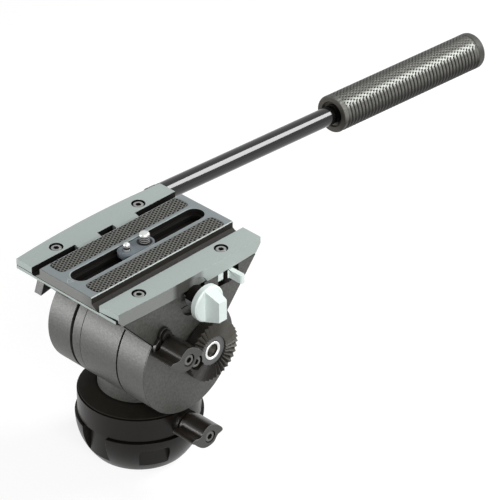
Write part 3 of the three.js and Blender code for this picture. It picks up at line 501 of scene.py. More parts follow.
def textured_paint(name, tone, roughness=0.5, specular=0.3):
    """Fine-grained powder paint on a casting."""
    finish = Finish(name, tone, roughness, 0.0, specular)
    grain = finish.noise(1.2, 4)
    finish.cover(finish.spread(grain, 0.35, 0.65, 0.6, 1.4))
    finish.rough(finish.noise(0.9), roughness - 0.08, roughness + 0.1)
    finish.raise_by(grain, 0.09)
    return finish


def smooth_black(name, tone, roughness, specular=0.3):
    """Moulded or lacquered black with faint handling marks."""
    finish = Finish(name, tone, roughness, 0.0, specular)
    finish.cover(finish.spread(finish.noise(6, 3), 0.3, 0.7, 0.85, 1.15))
    finish.rough(finish.noise(2.5, 5), roughness - 0.05, roughness + 0.08)
    finish.raise_by(finish.noise(0.3, 2), 0.006)
    return finish


def satin_metal(name, tone, roughness, metallic=0.0, along=(1, 1, 1), specular=0.4):
    """Blasted and anodised metal with a very fine grain."""
    finish = Finish(name, tone, roughness, metallic, specular)
    grain = finish.noise(0.45, 4, along)
    finish.cover(finish.spread(grain, 0.3, 0.7, 0.94, 1.06))
    finish.rough(finish.noise(1.2, 4), roughness - 0.04, roughness + 0.08)
    finish.raise_by(grain, 0.01)
    return finish


def brushed(name, tone, stretch):
    """Start of a brushed metal whose tone the caller changes along the piece with painted light,
    and its grain.
    """
    finish = Finish(name, tone, 0.5, 0.0, 0.3)
    finish.rough(finish.noise(1.2, 4), 0.45, 0.58)
    return finish, finish.spread(finish.noise(0.45, 4, stretch), 0.3, 0.7, 0.94, 1.06)


def apron_finish_with_painted_light():
    """Brushed metal of the apron, darker than the rail as painted shade: mid grey at its front, a
    painted shadow dark round the knob, a painted reflection pale at its back.
    """
    finish, grain = brushed("apron_band_painted_light", (0.21, 0.22, 0.21), (1, 6, 1))
    y = finish.parts()[1]
    # Painted reflection: paler from behind the knob to the back
    behind = finish.band(y, CLAMP_Y + 5, 80, 3)
    # Painted shadow: dark round the knob
    knob_shadow = finish.band(y, CLAMP_Y - 17, CLAMP_Y + 1, 4)
    pale = finish.mix(behind, grain, (0.37, 0.42, 0.4))
    finish.cover(finish.mix(knob_shadow, pale, (0.055, 0.055, 0.05)))
    return finish


def plate_end_with_painted_light():
    """Milled front end of the plate, pale at its far side and darkened at its near side by painted
    shade.
    """
    finish, grain = brushed("plate_end_painted_light", (0.2, 0.205, 0.195), (6, 1, 1))
    # Painted shade: darker towards the near side
    near = finish.band(finish.parts()[0], 12, 60, 26)
    finish.cover(finish.mix(near, grain, (0.03, 0.03, 0.027)))
    return finish


def dimpled_rubber():
    """Grey rubber of the pads, with round dimples on a three-sided lattice, painted near black in
    the dimples as shade.
    """
    finish = Finish("pad_rubber", (0.17, 0.17, 0.157), 0.75, 0.0, 0.12)
    x, y = finish.parts()[:2]
    nearest = None
    for shift in (0, 0.5):
        square = 0
        for value, size in ((x, DIMPLE_PITCH), (y, DIMPLE_PITCH * math.sqrt(3))):
            cell = finish.plus(finish.maths("DIVIDE", value, size), shift)
            reach = finish.times(finish.minus(finish.maths("FRACT", cell), 0.5), size)
            square = finish.plus(square, finish.times(reach, reach))
        away = finish.maths("SQRT", square)
        nearest = away if nearest is None else finish.maths("MINIMUM", nearest, away)
    dimple = finish.band(nearest, -1, DIMPLE_RADIUS, 0.18)
    grain = finish.spread(finish.noise(0.5, 3), 0.3, 0.7, 0.9, 1.1)
    # Painted shade: the dimples are near black
    finish.cover(finish.mix(dimple, grain, (0.006, 0.006, 0.005)))
    finish.raise_by(finish.minus(1, dimple), 0.3)
    return finish


def grooved_rubber_with_painted_light():
    """Rubber of the grip, with painted shade in the grooves that groove_depth shapes, painted shade
    on its underside and far side, and painted highlights on the crests along a band of its top.
    """
    finish = Finish("grip_rubber", (0.11, 0.11, 0.098), 0.4, 0.0, 0.25)
    x, y, z = finish.parts()
    y, z = finish.minus(y, ROSETTE_Y), finish.minus(z, ROSETTE_HEIGHT)
    cosine, sine = math.cos(HANDLE_SLOPE), math.sin(HANDLE_SLOPE)
    along = finish.plus(finish.times(y, cosine), finish.times(z, sine))
    up = finish.minus(finish.times(z, cosine), finish.times(y, sine))
    turn = finish.maths("ARCTAN2", finish.minus(up, HANDLE_CRANK), finish.minus(x, HANDLE_X))

    over_top = finish.maths("MAXIMUM", 0, finish.minus(turn, SLANT_START))
    over_top = finish.maths("MINIMUM", SLANT_SPAN, over_top)
    slanted = finish.plus(along, finish.times(over_top, SLANT_LEAD))
    wave = finish.wave(finish.times(slanted, 2 * math.pi / GROOVE_PITCH))
    brick = finish.times(along, math.pi / GROOVE_PITCH)
    notch = finish.wave(finish.plus(finish.times(turn, DASHES), brick))
    height = finish.node("ShaderNodeMix", data_type="FLOAT")
    is_top = finish.band(turn, SLANT_START, SLANT_START + SLANT_SPAN, 0.1)
    for place, value in ((0, is_top), (2, wave), (3, finish.maths("MAXIMUM", wave, notch))):
        finish.link(value, height.inputs[place])

    inside = finish.band(along, KNURL_START, KNURL_END, 0.3)
    relief = finish.times(height.outputs[0], inside)
    # Painted shade: near black at the bottom of the grooves
    groove_shade = finish.times(finish.band(relief, -1, 0.5, 0.2), inside)
    grain = finish.spread(finish.noise(0.6, 3), 0.3, 0.7, 0.85, 1.15)
    # Painted highlight: a band of the top where the crests are pale
    painted_highlight_band = finish.band(turn, math.radians(32), math.radians(64), 0.2)
    # Painted shade: darker on the underside and on the far side
    painted_shade_underside = finish.band(turn, -3.2, math.radians(15), 0.4)
    painted_shade_far_side = finish.band(turn, math.radians(75), 3.3, 0.3)
    tone = finish.mix(painted_shade_underside, grain, (0.014, 0.0125, 0.0095))
    tone = finish.mix(painted_shade_far_side, tone, (0.05, 0.05, 0.044))
    # Painted highlight on the crests inside that band
    crest = finish.times(finish.times(painted_highlight_band, inside), height.outputs[0])
    tone = finish.mix(crest, tone, (0.5, 0.52, 0.48))
    finish.cover(finish.mix(groove_shade, tone, (0.004, 0.0035, 0.003)))
    finish.raise_by(finish.noise(0.5, 4), 0.05)
    return finish


def bright_steel(name, tone, roughness, metallic=0.85):
    """Turned steel with faint tool marks."""
    finish = Finish(name, tone, roughness, metallic)
    finish.cover(finish.spread(finish.noise(1.5), 0.3, 0.7, 0.95, 1.03))
    finish.rough(finish.noise(0.6, 4), roughness - 0.03, roughness + 0.05)
    return finish


paint = textured_paint("grey_casting_paint", (0.036, 0.0365, 0.0315), 0.47, 0.75)
ring_black = smooth_black("base_ring_black", (0.008, 0.006, 0.005), 0.3, 0.22)
cover_black = smooth_black("cover_matte_black", (0.009, 0.008, 0.006), 0.6, 0.12)
ball_black = smooth_black("half_ball_black", (0.007, 0.006, 0.005), 0.3, 0.22)
lever_black = smooth_black("lever_black", (0.01, 0.008, 0.006), 0.28, 0.35)
lever_face = satin_metal("lever_end_dark", (0.055, 0.055, 0.051), 0.35, specular=0.3)
lever_rim_highlight = satin_metal("lever_rim_painted_highlight", (0.15, 0.15, 0.142), 0.45)
rosette_painted_lit_flank = smooth_black("rosette_flank_painted_highlight", (0.07, 0.065, 0.055), 0.45, 0.2)
rosette_black = smooth_black("rosette_black", (0.012, 0.01, 0.008), 0.4, 0.25)
crest_grey = satin_metal("rosette_crests", (0.17, 0.165, 0.15), 0.35)
rod_black = smooth_black("rod_gloss_black", (0.002, 0.002, 0.002), 0.06, 0.5)
rail_metal = satin_metal("rail_satin_grey", (0.385, 0.44, 0.42), 0.5)
rail_edge_highlight = satin_metal("rail_edge_painted_highlight", (0.6, 0.66, 0.63), 0.4)
plate_metal = satin_metal("plate_blue_grey", (0.225, 0.255, 0.262), 0.5)
carriage_metal = satin_metal("carriage_blue_grey", (0.14, 0.165, 0.185), 0.45)
edge_metal = satin_metal("plate_bright_edge", (0.42, 0.46, 0.45), 0.6)
# Near black: painted shade in the channel, on the far rail's inner side and in the plate's slot,
# and the dark metal of hidden inner parts
channel_shade_and_dark_metal = satin_metal("channel_shade_dark_metal", (0.004, 0.0035, 0.003), 0.6, 0.0, (1, 12, 1), 0.15)
plate_side_shade = satin_metal("plate_side_painted_shade", (0.022, 0.02, 0.017), 0.5, 0.0, (1, 12, 1), 0.12)
steel = bright_steel("turned_steel", (0.64, 0.65, 0.63), 0.3, 0.7)
insert_hole_shade = bright_steel("insert_hole_painted_shade", (0.06, 0.054, 0.046), 0.45, 0.5)
insert_steel = satin_metal("insert_steel", (0.85, 0.86, 0.84), 0.35, 0.3)
screw_grey = satin_metal("screw_head_grey", (0.3, 0.31, 0.3), 0.4)
screw_dark = satin_metal("screw_head_dark", (0.12, 0.12, 0.112), 0.4)
# Blackened steel and black print, also used as painted shade in sockets, on screw sides, in thread
# roots and on the pin's neck
black_steel_and_shade = satin_metal("blackened_steel_and_painted_shade", (0.008, 0.007, 0.006), 0.45, specular=0.2)
white_plastic = satin_metal("white_moulded_plastic", (0.75, 0.83, 0.8), 0.4)
bronze = bright_steel("bearing_bronze", (0.42, 0.28, 0.12), 0.35)
apron_painted_shade = apron_finish_with_painted_light()
plate_front = plate_end_with_painted_light()
knob_collar_painted_shade = satin_metal("knob_collar_painted_shade", (0.3, 0.32, 0.31), 0.5)
# Near black painted shade for screw rooms, slots and pockets, and painted shadow lines along some
# edges
recess_shade_black = satin_metal("painted_recess_shade", (0.006, 0.005, 0.004), 0.6, specular=0.1)
grip_rubber = grooved_rubber_with_painted_light()
grip_plain = smooth_black("grip_plain_rubber", (0.04, 0.036, 0.029), 0.5, 0.3)
pad_rubber = dimpled_rubber()
hub_grey = satin_metal("rosette_hub_grey", (0.11, 0.112, 0.112), 0.45)
cap_rubber = smooth_black("grip_cap_finish", (0.04, 0.041, 0.036), 0.5, 0.3)


# Base


def half_ball():
    """Half ball of the bowl mount, with pockets round its side."""
    start = math.degrees(math.asin(-BALL_HEIGHT / BALL_RADIUS))
    profile = [(0, 0)] + arc((0, BALL_HEIGHT), BALL_RADIUS, start, 0, 18) + [(0, BALL_HEIGHT)]
    ball = turned("half_ball_shell", "z", profile)
    cut(
        ball,
        rod("bolt_room", "z", BOLT_ROOM, -OVERRUN, BALL_HEIGHT + OVERRUN),
        rod("head_room", "z", 9.3, -OVERRUN, 6.3),
        *[ball_pocket(-90 + 360 / POCKETS * i, i % 2 == 0) for i in range(POCKETS)],
    )
    dress(soften(ball, 0.5, 3), "base", "black_gloss", ball_black, "half_ball")


def ball_pocket(middle, is_open):
    """Cutter of one pocket: to the top of the ball, or with a round roof under its rim."""
    first, last = middle - POCKET_HALF_ANGLE, middle + POCKET_HALF_ANGLE
    outline = arc((0, 0), 40, first, last, 12) + arc((0, 0), 33, last, first, 12)
    if is_open:
        return slab("open_pocket", "z", outline, -OVERRUN, BALL_HEIGHT + OVERRUN)
    pocket = slab("closed_pocket", "z", outline, -OVERRUN, POCKET_ROOF)
    only(pocket)
    mode("EDIT")
    bpy.ops.mesh.select_all(action="DESELECT")
    mode("OBJECT")
    for edge in pocket.data.edges:
        a, b = (pocket.data.vertices[v].co / MM for v in edge.vertices)
        upper = min(a.z, b.z) > POCKET_ROOF - 1
        if upper and abs(a.xy.length - b.xy.length) > 3:
            edge.select = True
    mode("EDIT")
    bpy.ops.mesh.bevel(offset=5 * MM, segments=6)
    mode("OBJECT")
    return pocket


def base_ring():
    """Ring that turns the pan, with its boss for the pan lock."""
    ring = turned("pan_ring", "z", [
        (BOLT_ROOM, RING_FOOT), (34.2, RING_FOOT), (34.2, RING_LIP), (RING_RADIUS, RING_LIP),
        (RING_RADIUS, RING_TOP), (RING_ROOM, RING_TOP), (RING_ROOM, RING_FLOOR),
        (BOLT_ROOM, RING_FLOOR), (BOLT_ROOM, RING_FOOT),
    ])
    boss = rod("boss", "x", 8, 31, 39.5, PAN_LEVER_AT)
    cut(boss, block("over_boss", (20, -20, RING_TOP), (60, 20, 60)))
    join(ring, boss)
    cut(ring, rod("stud_bore", "x", STUD_BORE, 20, 60, PAN_LEVER_AT))
    dress(soften(ring, 0.6, 3), "base", "black_gloss", ring_black, "pan_base_ring")


def top_cover():
    """Matte cover over the pan disc, in a shallow cone."""
    cover = turned("pan_cover", "z", [
        (18.4, 36.5), (28.7, 36.5), (28.7, 39.7), (35.2, 39.7), (35.2, 40.6),
        (25, COVER_TOP), (18.4, COVER_TOP), (18.4, 36.5),
    ])
    dress(soften(cover, 0.3, 2, 12), "base", "black_paint", cover_black, "pan_top_cover")


# Drum and frames


def on_drum(name, radius, start, end, sides=SMALL_ROUND):
    """A rod on the tilt axis."""
    return rod(name, "x", radius, start, end, DRUM_AT, sides)


def band_on_drum(name, inner, outer, start, end):
    """A round band on the tilt axis."""
    profile = [(inner, start), (outer, start), (outer, end), (inner, end), (inner, start)]
    return turned(name, "x", profile, DRUM_AT, DRUM_ROUND)


def centre_housing():
    """Pedestal and the middle of the drum."""
    column = turned("centre_casting", "z", [
        (0, 43.4), (23.4, 43.4), (PEDESTAL_RADIUS, 44), (PEDESTAL_RADIUS, TILT_HEIGHT),
        (0, TILT_HEIGHT),
    ])
    clear = DRUM_RADIUS + 0.8
    cut(
        column,
        on_drum("near_clear", clear, CENTRE_NEAR_X, 60, ROUND),
        on_drum("far_clear", clear, -60, PARTING_X, ROUND),
    )
    join(column, on_drum("drum_middle", DRUM_RADIUS, CENTRE_FAR_X, CENTRE_NEAR_X, DRUM_ROUND))
    cut(
        column,
        on_drum("shaft_room", SHAFT_ROOM, -30, 30),
        on_drum("spring_room", SPRING_ROOM, -13, 7.7),
    )
    dress(soften(column, 0.5, 3), "pan_body", "dark_paint", paint, "centre_housing")


def drum_ring():
    """Ring of the drum between two parting lines."""
    ring = band_on_drum("drum_band", SHAFT_ROOM, DRUM_RADIUS, RING_FAR_X, PARTING_X)
    dress(soften(ring, 0.35, 2), "pan_body", "dark_paint", paint, "drum_ring")


def web_outline(top):
    """V-shaped side of a frame from the drum up to a height."""
    front_waist = (-0.795 * DRUM_RADIUS, TILT_HEIGHT + 20.7)
    back_waist = (0.878 * DRUM_RADIUS, TILT_HEIGHT + 16.9)

    def edge(waist, end):
        return waist[0] + (top - waist[1]) / (BED_TOP - waist[1]) * (end - waist[0])

    front, back = edge(front_waist, BED_FRONT), edge(back_waist, BED_BACK)
    return [(front, top), (back, top), back_waist, (0, TILT_HEIGHT), front_waist]


def bowed_edge(middle_x, bow):
    """Points along a bowed edge of the bed from front to back, in (x, y)."""
    middle, half = (BED_FRONT + BED_BACK) / 2, (BED_BACK - BED_FRONT) / 2
    return [(middle_x + bow * (i / 12) ** 2, middle + i / 12 * half) for i in range(-12, 13)]


def outside_near_edge():
    """Cutter along the bowed near edge of the near rail, with its slanted front corner."""
    first, *rest = bowed_edge(NEAR_EDGE_X, -1.5)
    corner = [(first[0], first[1] + 1.4), (NEAR_RAIL_X, BED_FRONT), (NEAR_RAIL_X, BEFORE)]
    ends = [(55, BEFORE), (55, BEHIND), (rest[-1][0], BEHIND)]
    return slab("outside_near_edge", "z", corner + ends + rest[::-1], UNDER, ABOVE)


def eared_plate(name, gap, start, end):
    """Round plate of the tilt lever with the ear of its screw above it."""
    plate = rod(name, "x", 8.3 + gap, start, end, TILT_LEVER_AT)
    half = 4.4 + gap
    outline = [(-half, 0), (half, 0)] + arc((0, EAR_HEIGHT), half, 0, 180, 16)
    return join(plate, slab(name + "_ear", "x", outline, start, end, TILT_LEVER_AT))


def clamp_pocket():
    """Pocket behind the clamp knob: round at its foot and open at its top."""
    outline = arc((0, -3.8), 9.2, 180, 360, 32) + [(9.2, 8), (-9.2, 8)]
    return slab("clamp_pocket", "x", outline, NEAR_FACE_X - 2.8, BESIDE, CLAMP_AT)


def near_frame():
    """Near end of the drum with its web, which carries the controls."""
    web = slab("near_frame_casting", "x", web_outline(WEB_TOP - 0.3), 31.6, NEAR_FACE_X)
    join(web, on_drum("near_drum", DRUM_RADIUS, NEAR_INNER_X, NEAR_FACE_X, DRUM_ROUND))
    inner = NEAR_INNER_X - OVERRUN
    cut(
        web,
        on_drum("drum_room", DRAG_ROOM, inner, 32),
        on_drum("bearing_room", BEARING_ROOM, inner, 37),
        eared_plate("lever_seat", SEAT_GAP, NEAR_FACE_X, BESIDE),
        rod("lever_bore", "x", STUD_BORE, inner, BESIDE, TILT_LEVER_AT),
        rod("shoe_room", "x", 6.4, inner, 26, TILT_LEVER_AT),
        rod("insert_room", "x", INSERT_ROOM, 38.4, BESIDE, ROSETTE_AT),
        rod("shaft_bore", "x", 4.4, 28, BESIDE, CLAMP_AT),
        clamp_pocket(),
        block("latch_slot", (36.4, 23.7, BED_TOP - 13.8), (BESIDE, 40, 130)),
        front_step(),
    )
    dress(soften(web, 0.12, 1, 25), "tilt_body", "dark_paint", paint, "near_side_frame")
    # Painted shade: a shadow line on the front step, near black in the latch slot and the upper
    # clamp pocket
    paint_faces(web, recess_shade_black, is_front_step)
    paint_faces(web, recess_shade_black, is_open_room)


def is_open_room(at, normal):
    """Inside of the latch slot, or the upper part of the clamp pocket, both painted near black as
    shade.
    """
    in_pocket = abs(at.y - CLAMP_Y) < 9.4 and (at.z > 117 or normal.x < 0.9)
    return (in_pocket or 23.5 < at.y < 40.2) and 34 < at.x < NEAR_FACE_X - 0.15 and at.z > 106


def front_step():
    """Cutter of the fine step along the front edge of the near face, whose faces are painted as a
    dark shadow line.
    """
    outline = web_outline(WEB_TOP)
    (front, top), (waist, foot) = outline[0], outline[-1]
    strip = [(front + 0.75, top), (front - 2, top), (waist - 2, foot), (waist + 0.75, foot)]
    return slab("front_step", "x", strip, NEAR_FACE_X - 0.3, BESIDE)


def is_front_step(at, normal):
    return NEAR_FACE_X - 0.35 < at.x < NEAR_FACE_X - 0.02 and at.y < -25 and at.z > 90


def face_line():
    """Dark parting line round the near end of the drum."""
    line = band_on_drum("drum_face_line", DRUM_RADIUS - 0.6, DRUM_RADIUS + 0.03, 40.75, 41.0)
    dress(soften(line, 0), "tilt_body", "black_paint", black_steel_and_shade)


def far_frame():
    """Far end of the drum with its web."""
    web = slab("far_frame_casting", "x", web_outline(WEB_TOP), FAR_FACE_X, -27)
    join(web, on_drum("far_drum", DRUM_RADIUS, FAR_FACE_X, FAR_INNER_X, DRUM_ROUND))
    inner = FAR_INNER_X + OVERRUN
    cut(
        web,
        on_drum("far_room", DRAG_ROOM, -27.6, inner),
        on_drum("far_bearing_room", BEARING_ROOM, -32.6, inner),
    )
    dress(soften(web, 0.6, 3, 25), "tilt_body", "dark_paint", paint, "far_side_frame")


def outside_far_edge():
    """Cutter along the bowed far edge of the bed and its rail."""
    ends = [(-40.4, BEHIND), (-60, BEHIND), (-60, BEFORE), (-40.4, BEFORE)]
    return slab("outside_far_edge", "z", bowed_edge(BED_FAR_X, 2.9) + ends, UNDER, ABOVE)


def platform():
    """Bed of the channel, with thin lips at its front and back."""
    bed = slab("platform_bed", "x", [
        (BED_FRONT, BED_TOP - 2), (BED_FRONT + 4, BED_UNDER), (BED_BACK - 4, BED_UNDER),
        (BED_BACK, BED_TOP - 2), (BED_BACK, BED_TOP), (BED_FRONT, BED_TOP),
    ], -45, 40.2)
    cut(
        bed,
        outside_far_edge(),
        block("channel", (-27.3, BEFORE, 128.3), (26.9, BEHIND, ABOVE)),
        block("bar_room", (24.3, CLAMP_Y - 8.4, UNDER), (31.6, CLAMP_Y + 8.4, ABOVE)),
    )
    # Painted shade: the bed is near black in the channel, and its front face and far edge get the
    # rail's metal
    dress(soften(bed, 0.2, 2), "tilt_body", "dark_metal", channel_shade_and_dark_metal, "platform")
    paint_faces(bed, rail_metal, lambda at, normal: normal.y < -0.9 or at.x < -41)


def rail_screw_rooms(side):
    """Cutters of the two screw rooms in a rail."""
    places = [(side * RAIL_SCREW_X, y, 0) for y in RAIL_SCREW_Y]
    return [rod("screw_room", "z", 4.15, 129.8, ABOVE, place) for place in places]


def near_rail():
    """Near rail with the apron that hangs over the edge of the bed."""
    rail = block("near_rail_bar", (NEAR_RAIL_X, BED_FRONT, RAIL_FOOT), (48, BED_BACK, RAIL_TOP))
    sides = [(BED_BACK, BED_TOP), (BED_BACK, RAIL_TOP), (BED_FRONT, RAIL_TOP), (BED_FRONT, BED_TOP)]
    join(rail, slab("apron", "x", web_outline(APRON_FOOT)[:2] + sides, APRON_X, 47))
    cut(
        rail,
        outside_near_edge(),
        rod("clamp_recess", "x", 11.4, NEAR_FACE_X, 52, CLAMP_AT, ROUND),
        *rail_screw_rooms(1),
    )
    dress(soften(rail, 0.3, 3, 20), "tilt_body", "grey_metal", rail_metal, "near_rail")
    # Painted shade on the apron, with a painted shadow round the knob and a painted reflection at
    # its back
    paint_faces(rail, apron_painted_shade, is_apron)
    # Painted shade in the screw rooms, and a painted shadow line at the front corner
    paint_faces(rail, recess_shade_black, is_screw_room)
    paint_faces(rail, recess_shade_black, is_front_corner)
    # Painted highlight along the outer top edge
    paint_faces(rail, rail_edge_highlight, is_top_edge)


def is_apron(at, normal):
    return at.x > 40.6 and normal.x > 0.55 and at.z < RAIL_TOP


def is_screw_room(at, normal):
    away = math.hypot(abs(at.x) - RAIL_SCREW_X, min(abs(at.y - y) for y in RAIL_SCREW_Y))
    return away < 4.5 and at.z < RAIL_TOP - 0.05


def is_front_corner(at, normal):
    """Rounded corner between the front end of the near rail and its side, painted as a dark shadow
    line.
    """
    is_near = at.y < BED_FRONT + 4 and at.x > 40 and at.z < RAIL_TOP - 0.2
    return is_near and normal.y < -0.25 and 0.25 < normal.x < 0.97


def is_top_edge(at, normal):
    """Rounded edge between the top of a rail and its outer side, painted pale as a highlight."""
    is_slanted = 0.3 < normal.z < 0.9 and abs(normal.x) > 0.3
    return is_slanted and at.z > RAIL_TOP - 0.35 and abs(at.x) > 38


def far_rail():
    """Far rail with its two jaws over the plate's flange."""
    rail = slab("far_rail_bar", "y", [
        (-45, RAIL_FOOT), (FAR_RAIL_X, RAIL_FOOT), (FAR_RAIL_X, RAIL_TOP), (-45, RAIL_TOP),
    ], BED_FRONT, BED_BACK)
    for front in (-21.2, 8.1):
        join(rail, slab("jaw", "y", [
            (-30, RAIL_FOOT), (-25.2, RAIL_FOOT), (-21.8, 131.2), (-21.8, 131.6), (-26.5, RAIL_TOP),
            (-30, RAIL_TOP),
        ], front, front + 17.4))
    cut(rail, outside_far_edge(), *rail_screw_rooms(-1))
    dress(soften(rail, 0.3, 3, 20), "tilt_body", "grey_metal", rail_metal, "far_rail")
    # Painted shade on the inner side of the far rail, towards the channel
    paint_faces(rail, channel_shade_and_dark_metal, lambda at, normal: at.x > FAR_RAIL_X - 0.1 and normal.x > 0.3)
    # Painted shade in the screw rooms
    paint_faces(rail, recess_shade_black, is_screw_room)


def socket_head(name, axis, radius, height, top, at, socket=1.8, depth=1.6):
    """Head of a socket screw with a turned rim and a six-sided hole."""
    head = turned(name, axis, [
        (0, top - height), (radius, top - height), (radius, top - 0.35), (radius - 0.35, top),
        (0, top),
    ], at, SMALL_ROUND)
    cut(head, rod("hexagon", axis, socket, top - depth, top + 1, at, 6))
    return head


def rail_screws():
    """The four screws of the rails, modelled once."""
    screw = socket_head("rail_screw", "z", 3.2, 2.4, 132.5, (0, 0, 0))
    join(screw, rod("shank", "z", 2, 117.1, 131, sides=FINE_ROUND))
    soften(screw, 0.12, 2)
    names = {(-1, 0): "far_front", (-1, 1): "far_back", (1, 0): "near_front", (1, 1): "near_back"}
    for (side, row), name in names.items():
        twin = copied(screw, name + "_screw")
        moved(twin, (side * RAIL_SCREW_X, RAIL_SCREW_Y[row], 0))
        dress(twin, "tilt_body", "steel", screw_grey, name + "_rail_screw")
        # Painted shade: the sides of the head and its socket are near black
        paint_faces(twin, black_steel_and_shade, lambda at, normal: at.z < 132.2 and normal.z > -0.5)
    bpy.data.objects.remove(screw)


# Controls


def lever_outline():
    """Outline of a lock lever in (y, z): a long wing, a round hub and a short wing."""
    corners = [
        (-14.2, 2.6), (-12.6, 3.5), (-9, 3), (-7, 3.3), (-5.7, 5), (-3.9, 6.6), (-1.7, 7.7),
        (1, 7.8), (4.2, 6.4), (7.4, 4.1), (9.6, 1.7), (10.1, 0), (9, -0.9), (6.4, -1.5),
        (5.1, -2.7), (4, -4.3), (2.2, -5.5), (-0.7, -6.1), (-3.6, -5.9), (-6.8, -4.5),
        (-9.7, -2.1), (-12.1, 0.4), (-14, 1.8),
    ]
    return smooth_loop([Vector(corner) for corner in corners], 3)


def smooth_loop(points, steps):
    """Closed curve that runs softly through the points."""
    curve = []
    count = len(points)
    for i in range(count):
        a, b, c, d = (points[(i + k - 1) % count] for k in range(4))
        for step in range(steps):
            t = step / steps
            bend = a - 2.5 * b + 2 * c - 0.5 * d + t * 0.5 * (3 * b - a - 3 * c + d)
            curve.append(tuple(b + t * (0.5 * (c - a) + t * bend)))
    return curve


def lock_lever(motion, root, y, z, neck):
    """Lock lever of the pan or the tilt on its stud, with its end screw."""
    name, at = motion + "_lever", (root, y, z)
    lever = slab(name + "_wings", "x", lever_outline(), 2, 18.3, at)
    soften(lever, 0.55, 3, 34)
    join(lever, rod("neck", "x", neck, 0, 3, at))
    cut(
        lever,
        rod("screw_room", "x", 3.9, 14.3, 20, at),
        rod("bore", "x", STUD_BORE, -1, 9.9, at, FINE_ROUND),
    )
    dress(soften(lever, 0), name, "black_paint", lever_black, motion + "_lock_lever")
    top, rim = root + 17.9, root + 17.8
    paint_faces(lever, lever_face, lambda spot, normal: spot.x > top and normal.x > 0.85)
    # Painted highlight on the rounded rim round the end face
    paint_faces(lever, lever_rim_highlight, lambda spot, normal: spot.x > rim and 0.4 < normal.x <= 0.85)
    screw = socket_head(name + "_end_screw", "x", 3.4, 3.3, 17.9, at, 1.9, 2)
    dress(soften(screw, 0.15, 2), name, "steel", screw_dark, name + "_screw")
    # Painted shade on the sides of the end screw and in its socket
    paint_faces(screw, black_steel_and_shade, lambda spot, normal: abs(normal.x) < 0.5 or spot.x < root + 17)


def tilt_boss():
    """Boss of the tilt lever, and the small screw in its ear."""
    boss = eared_plate("tilt_boss", 0, 41.7, 44)
    cut(boss, rod("stud_hole", "x", STUD_BORE, 30, 60, TILT_LEVER_AT, FINE_ROUND))
    dress(soften(boss, 0.5, 3), "tilt_body", "black_paint", lever_black, "tilt_lever_boss")
    ear_at = (0, TILT_LEVER_Y, TILT_LEVER_HEIGHT + EAR_HEIGHT)
    screw = socket_head("tilt_ear_screw", "x", 3.5, 1.8, 46.1, ear_at, 1.5, 1.3)
    dress(soften(screw, 0.25, 3), "tilt_body", "black_paint", black_steel_and_shade, "tilt_boss_screw")


def rosette(name, foot, sign, hole):
    """Rosette disc on its foot, facing +X or -X: V teeth round a lower hub with a hole."""
    hub, valley = foot + sign * 6.8, foot + sign * 6.9
    disc = turned(name, "x", [
        (hole, foot), (16.3, foot), (ROSETTE_RADIUS, foot + sign * 2.3), (ROSETTE_RADIUS, valley),
        (HUB_RADIUS, valley), (9.1, hub), (hole, hub), (hole, foot),
    ], ROSETTE_AT, 2 * TEETH)

    def is_crest(spot):
        angle = math.atan2(spot.z - ROSETTE_HEIGHT, spot.y - ROSETTE_Y)
        return round(angle / (math.pi / TEETH)) % 2 == 1 and abs(spot.x - valley) < 0.04

    pick(disc, is_crest)
    bpy.ops.transform.translate(value=(sign * TOOTH_HEIGHT * MM, 0, 0))
    mode("OBJECT")
    return disc


def near_rosette():
    """Near rosette with its threaded insert and socket screw."""
    screw_at = (0, ROSETTE_Y - 12.8, ROSETTE_HEIGHT - 1.6)
    disc = rosette("near_rosette_disc", 41.7, 1, INSERT_ROOM)
    cut(
        disc,
        rod("head_hole", "x", 4.6, 44.8, 60, screw_at),
        rod("shank_hole", "x", 2.3, 30, 60, screw_at, FINE_ROUND),
    )
    dress(soften(disc, 0.13, 2, 30), "tilt_body", "black_paint", rosette_black, "near_rosette")
    # Painted light: one flank of each tooth is lighter
    paint_faces(disc, rosette_painted_lit_flank, is_painted_lit_flank)
    paint_faces(disc, crest_grey, lambda spot, normal: spot.x > 49.92)
    paint_faces(disc, hub_grey, is_hub)

    profile = thread_profile(4.1, 38.7, 48.8, 5.8)
    insert = turned("rosette_bush", "x", profile, ROSETTE_AT, SMALL_ROUND)
    dress(soften(insert, 0), "tilt_body", "steel", insert_steel, "rosette_insert")
    # Painted shade: dark inside the threaded hole
    paint_faces(insert, insert_hole_shade, lambda spot, normal: spot.x < 48.2)
    screw = socket_head("rosette_side_screw", "x", 3.5, 3.4, 48.2, screw_at, 1.9, 2)
    join(screw, rod("shank", "x", 2, 38.8, 46, screw_at, FINE_ROUND))
    dress(soften(screw, 0.15, 2), "tilt_body", "steel", screw_dark, "rosette_screw")
    # Painted shade on the side of the screw head and in its socket
    paint_faces(screw, black_steel_and_shade, lambda spot, normal: spot.x < 47.7)


def is_painted_lit_flank(spot, normal):
    """One of the two flanks of each tooth, painted lighter as the side that the light falls on."""
    y, z = spot.y - ROSETTE_Y, spot.z - ROSETTE_HEIGHT
    is_tooth = 9.4 < math.hypot(y, z) < ROSETTE_RADIUS and spot.x > 48.6
    return is_tooth and normal.y * z - normal.z * y < -0.5


def is_hub(spot, normal):
    radius = math.hypot(spot.y - ROSETTE_Y, spot.z - ROSETTE_HEIGHT)
    return radius < HUB_RADIUS and 48.3 < spot.x < 48.7 and normal.x > 0.9


def thread_profile(hole, start, end, outer, pitch=1.0, depth=0.35):
    """Wall of a threaded bush: V grooves inside, a chamfer at its mouth, plain outside."""
    points = [(hole + 0.5, start)]
    along = start + 0.5
    while along + pitch < end - 0.6:
        points.append((hole, along))
        points.append((hole + depth, along + pitch / 2))
        along += pitch
    points += [(hole, along), (hole, end - 0.5), (hole + 0.5, end), (outer - 0.25, end)]
    return points + [(outer, end - 0.25), (outer, start), (hole + 0.5, start)]


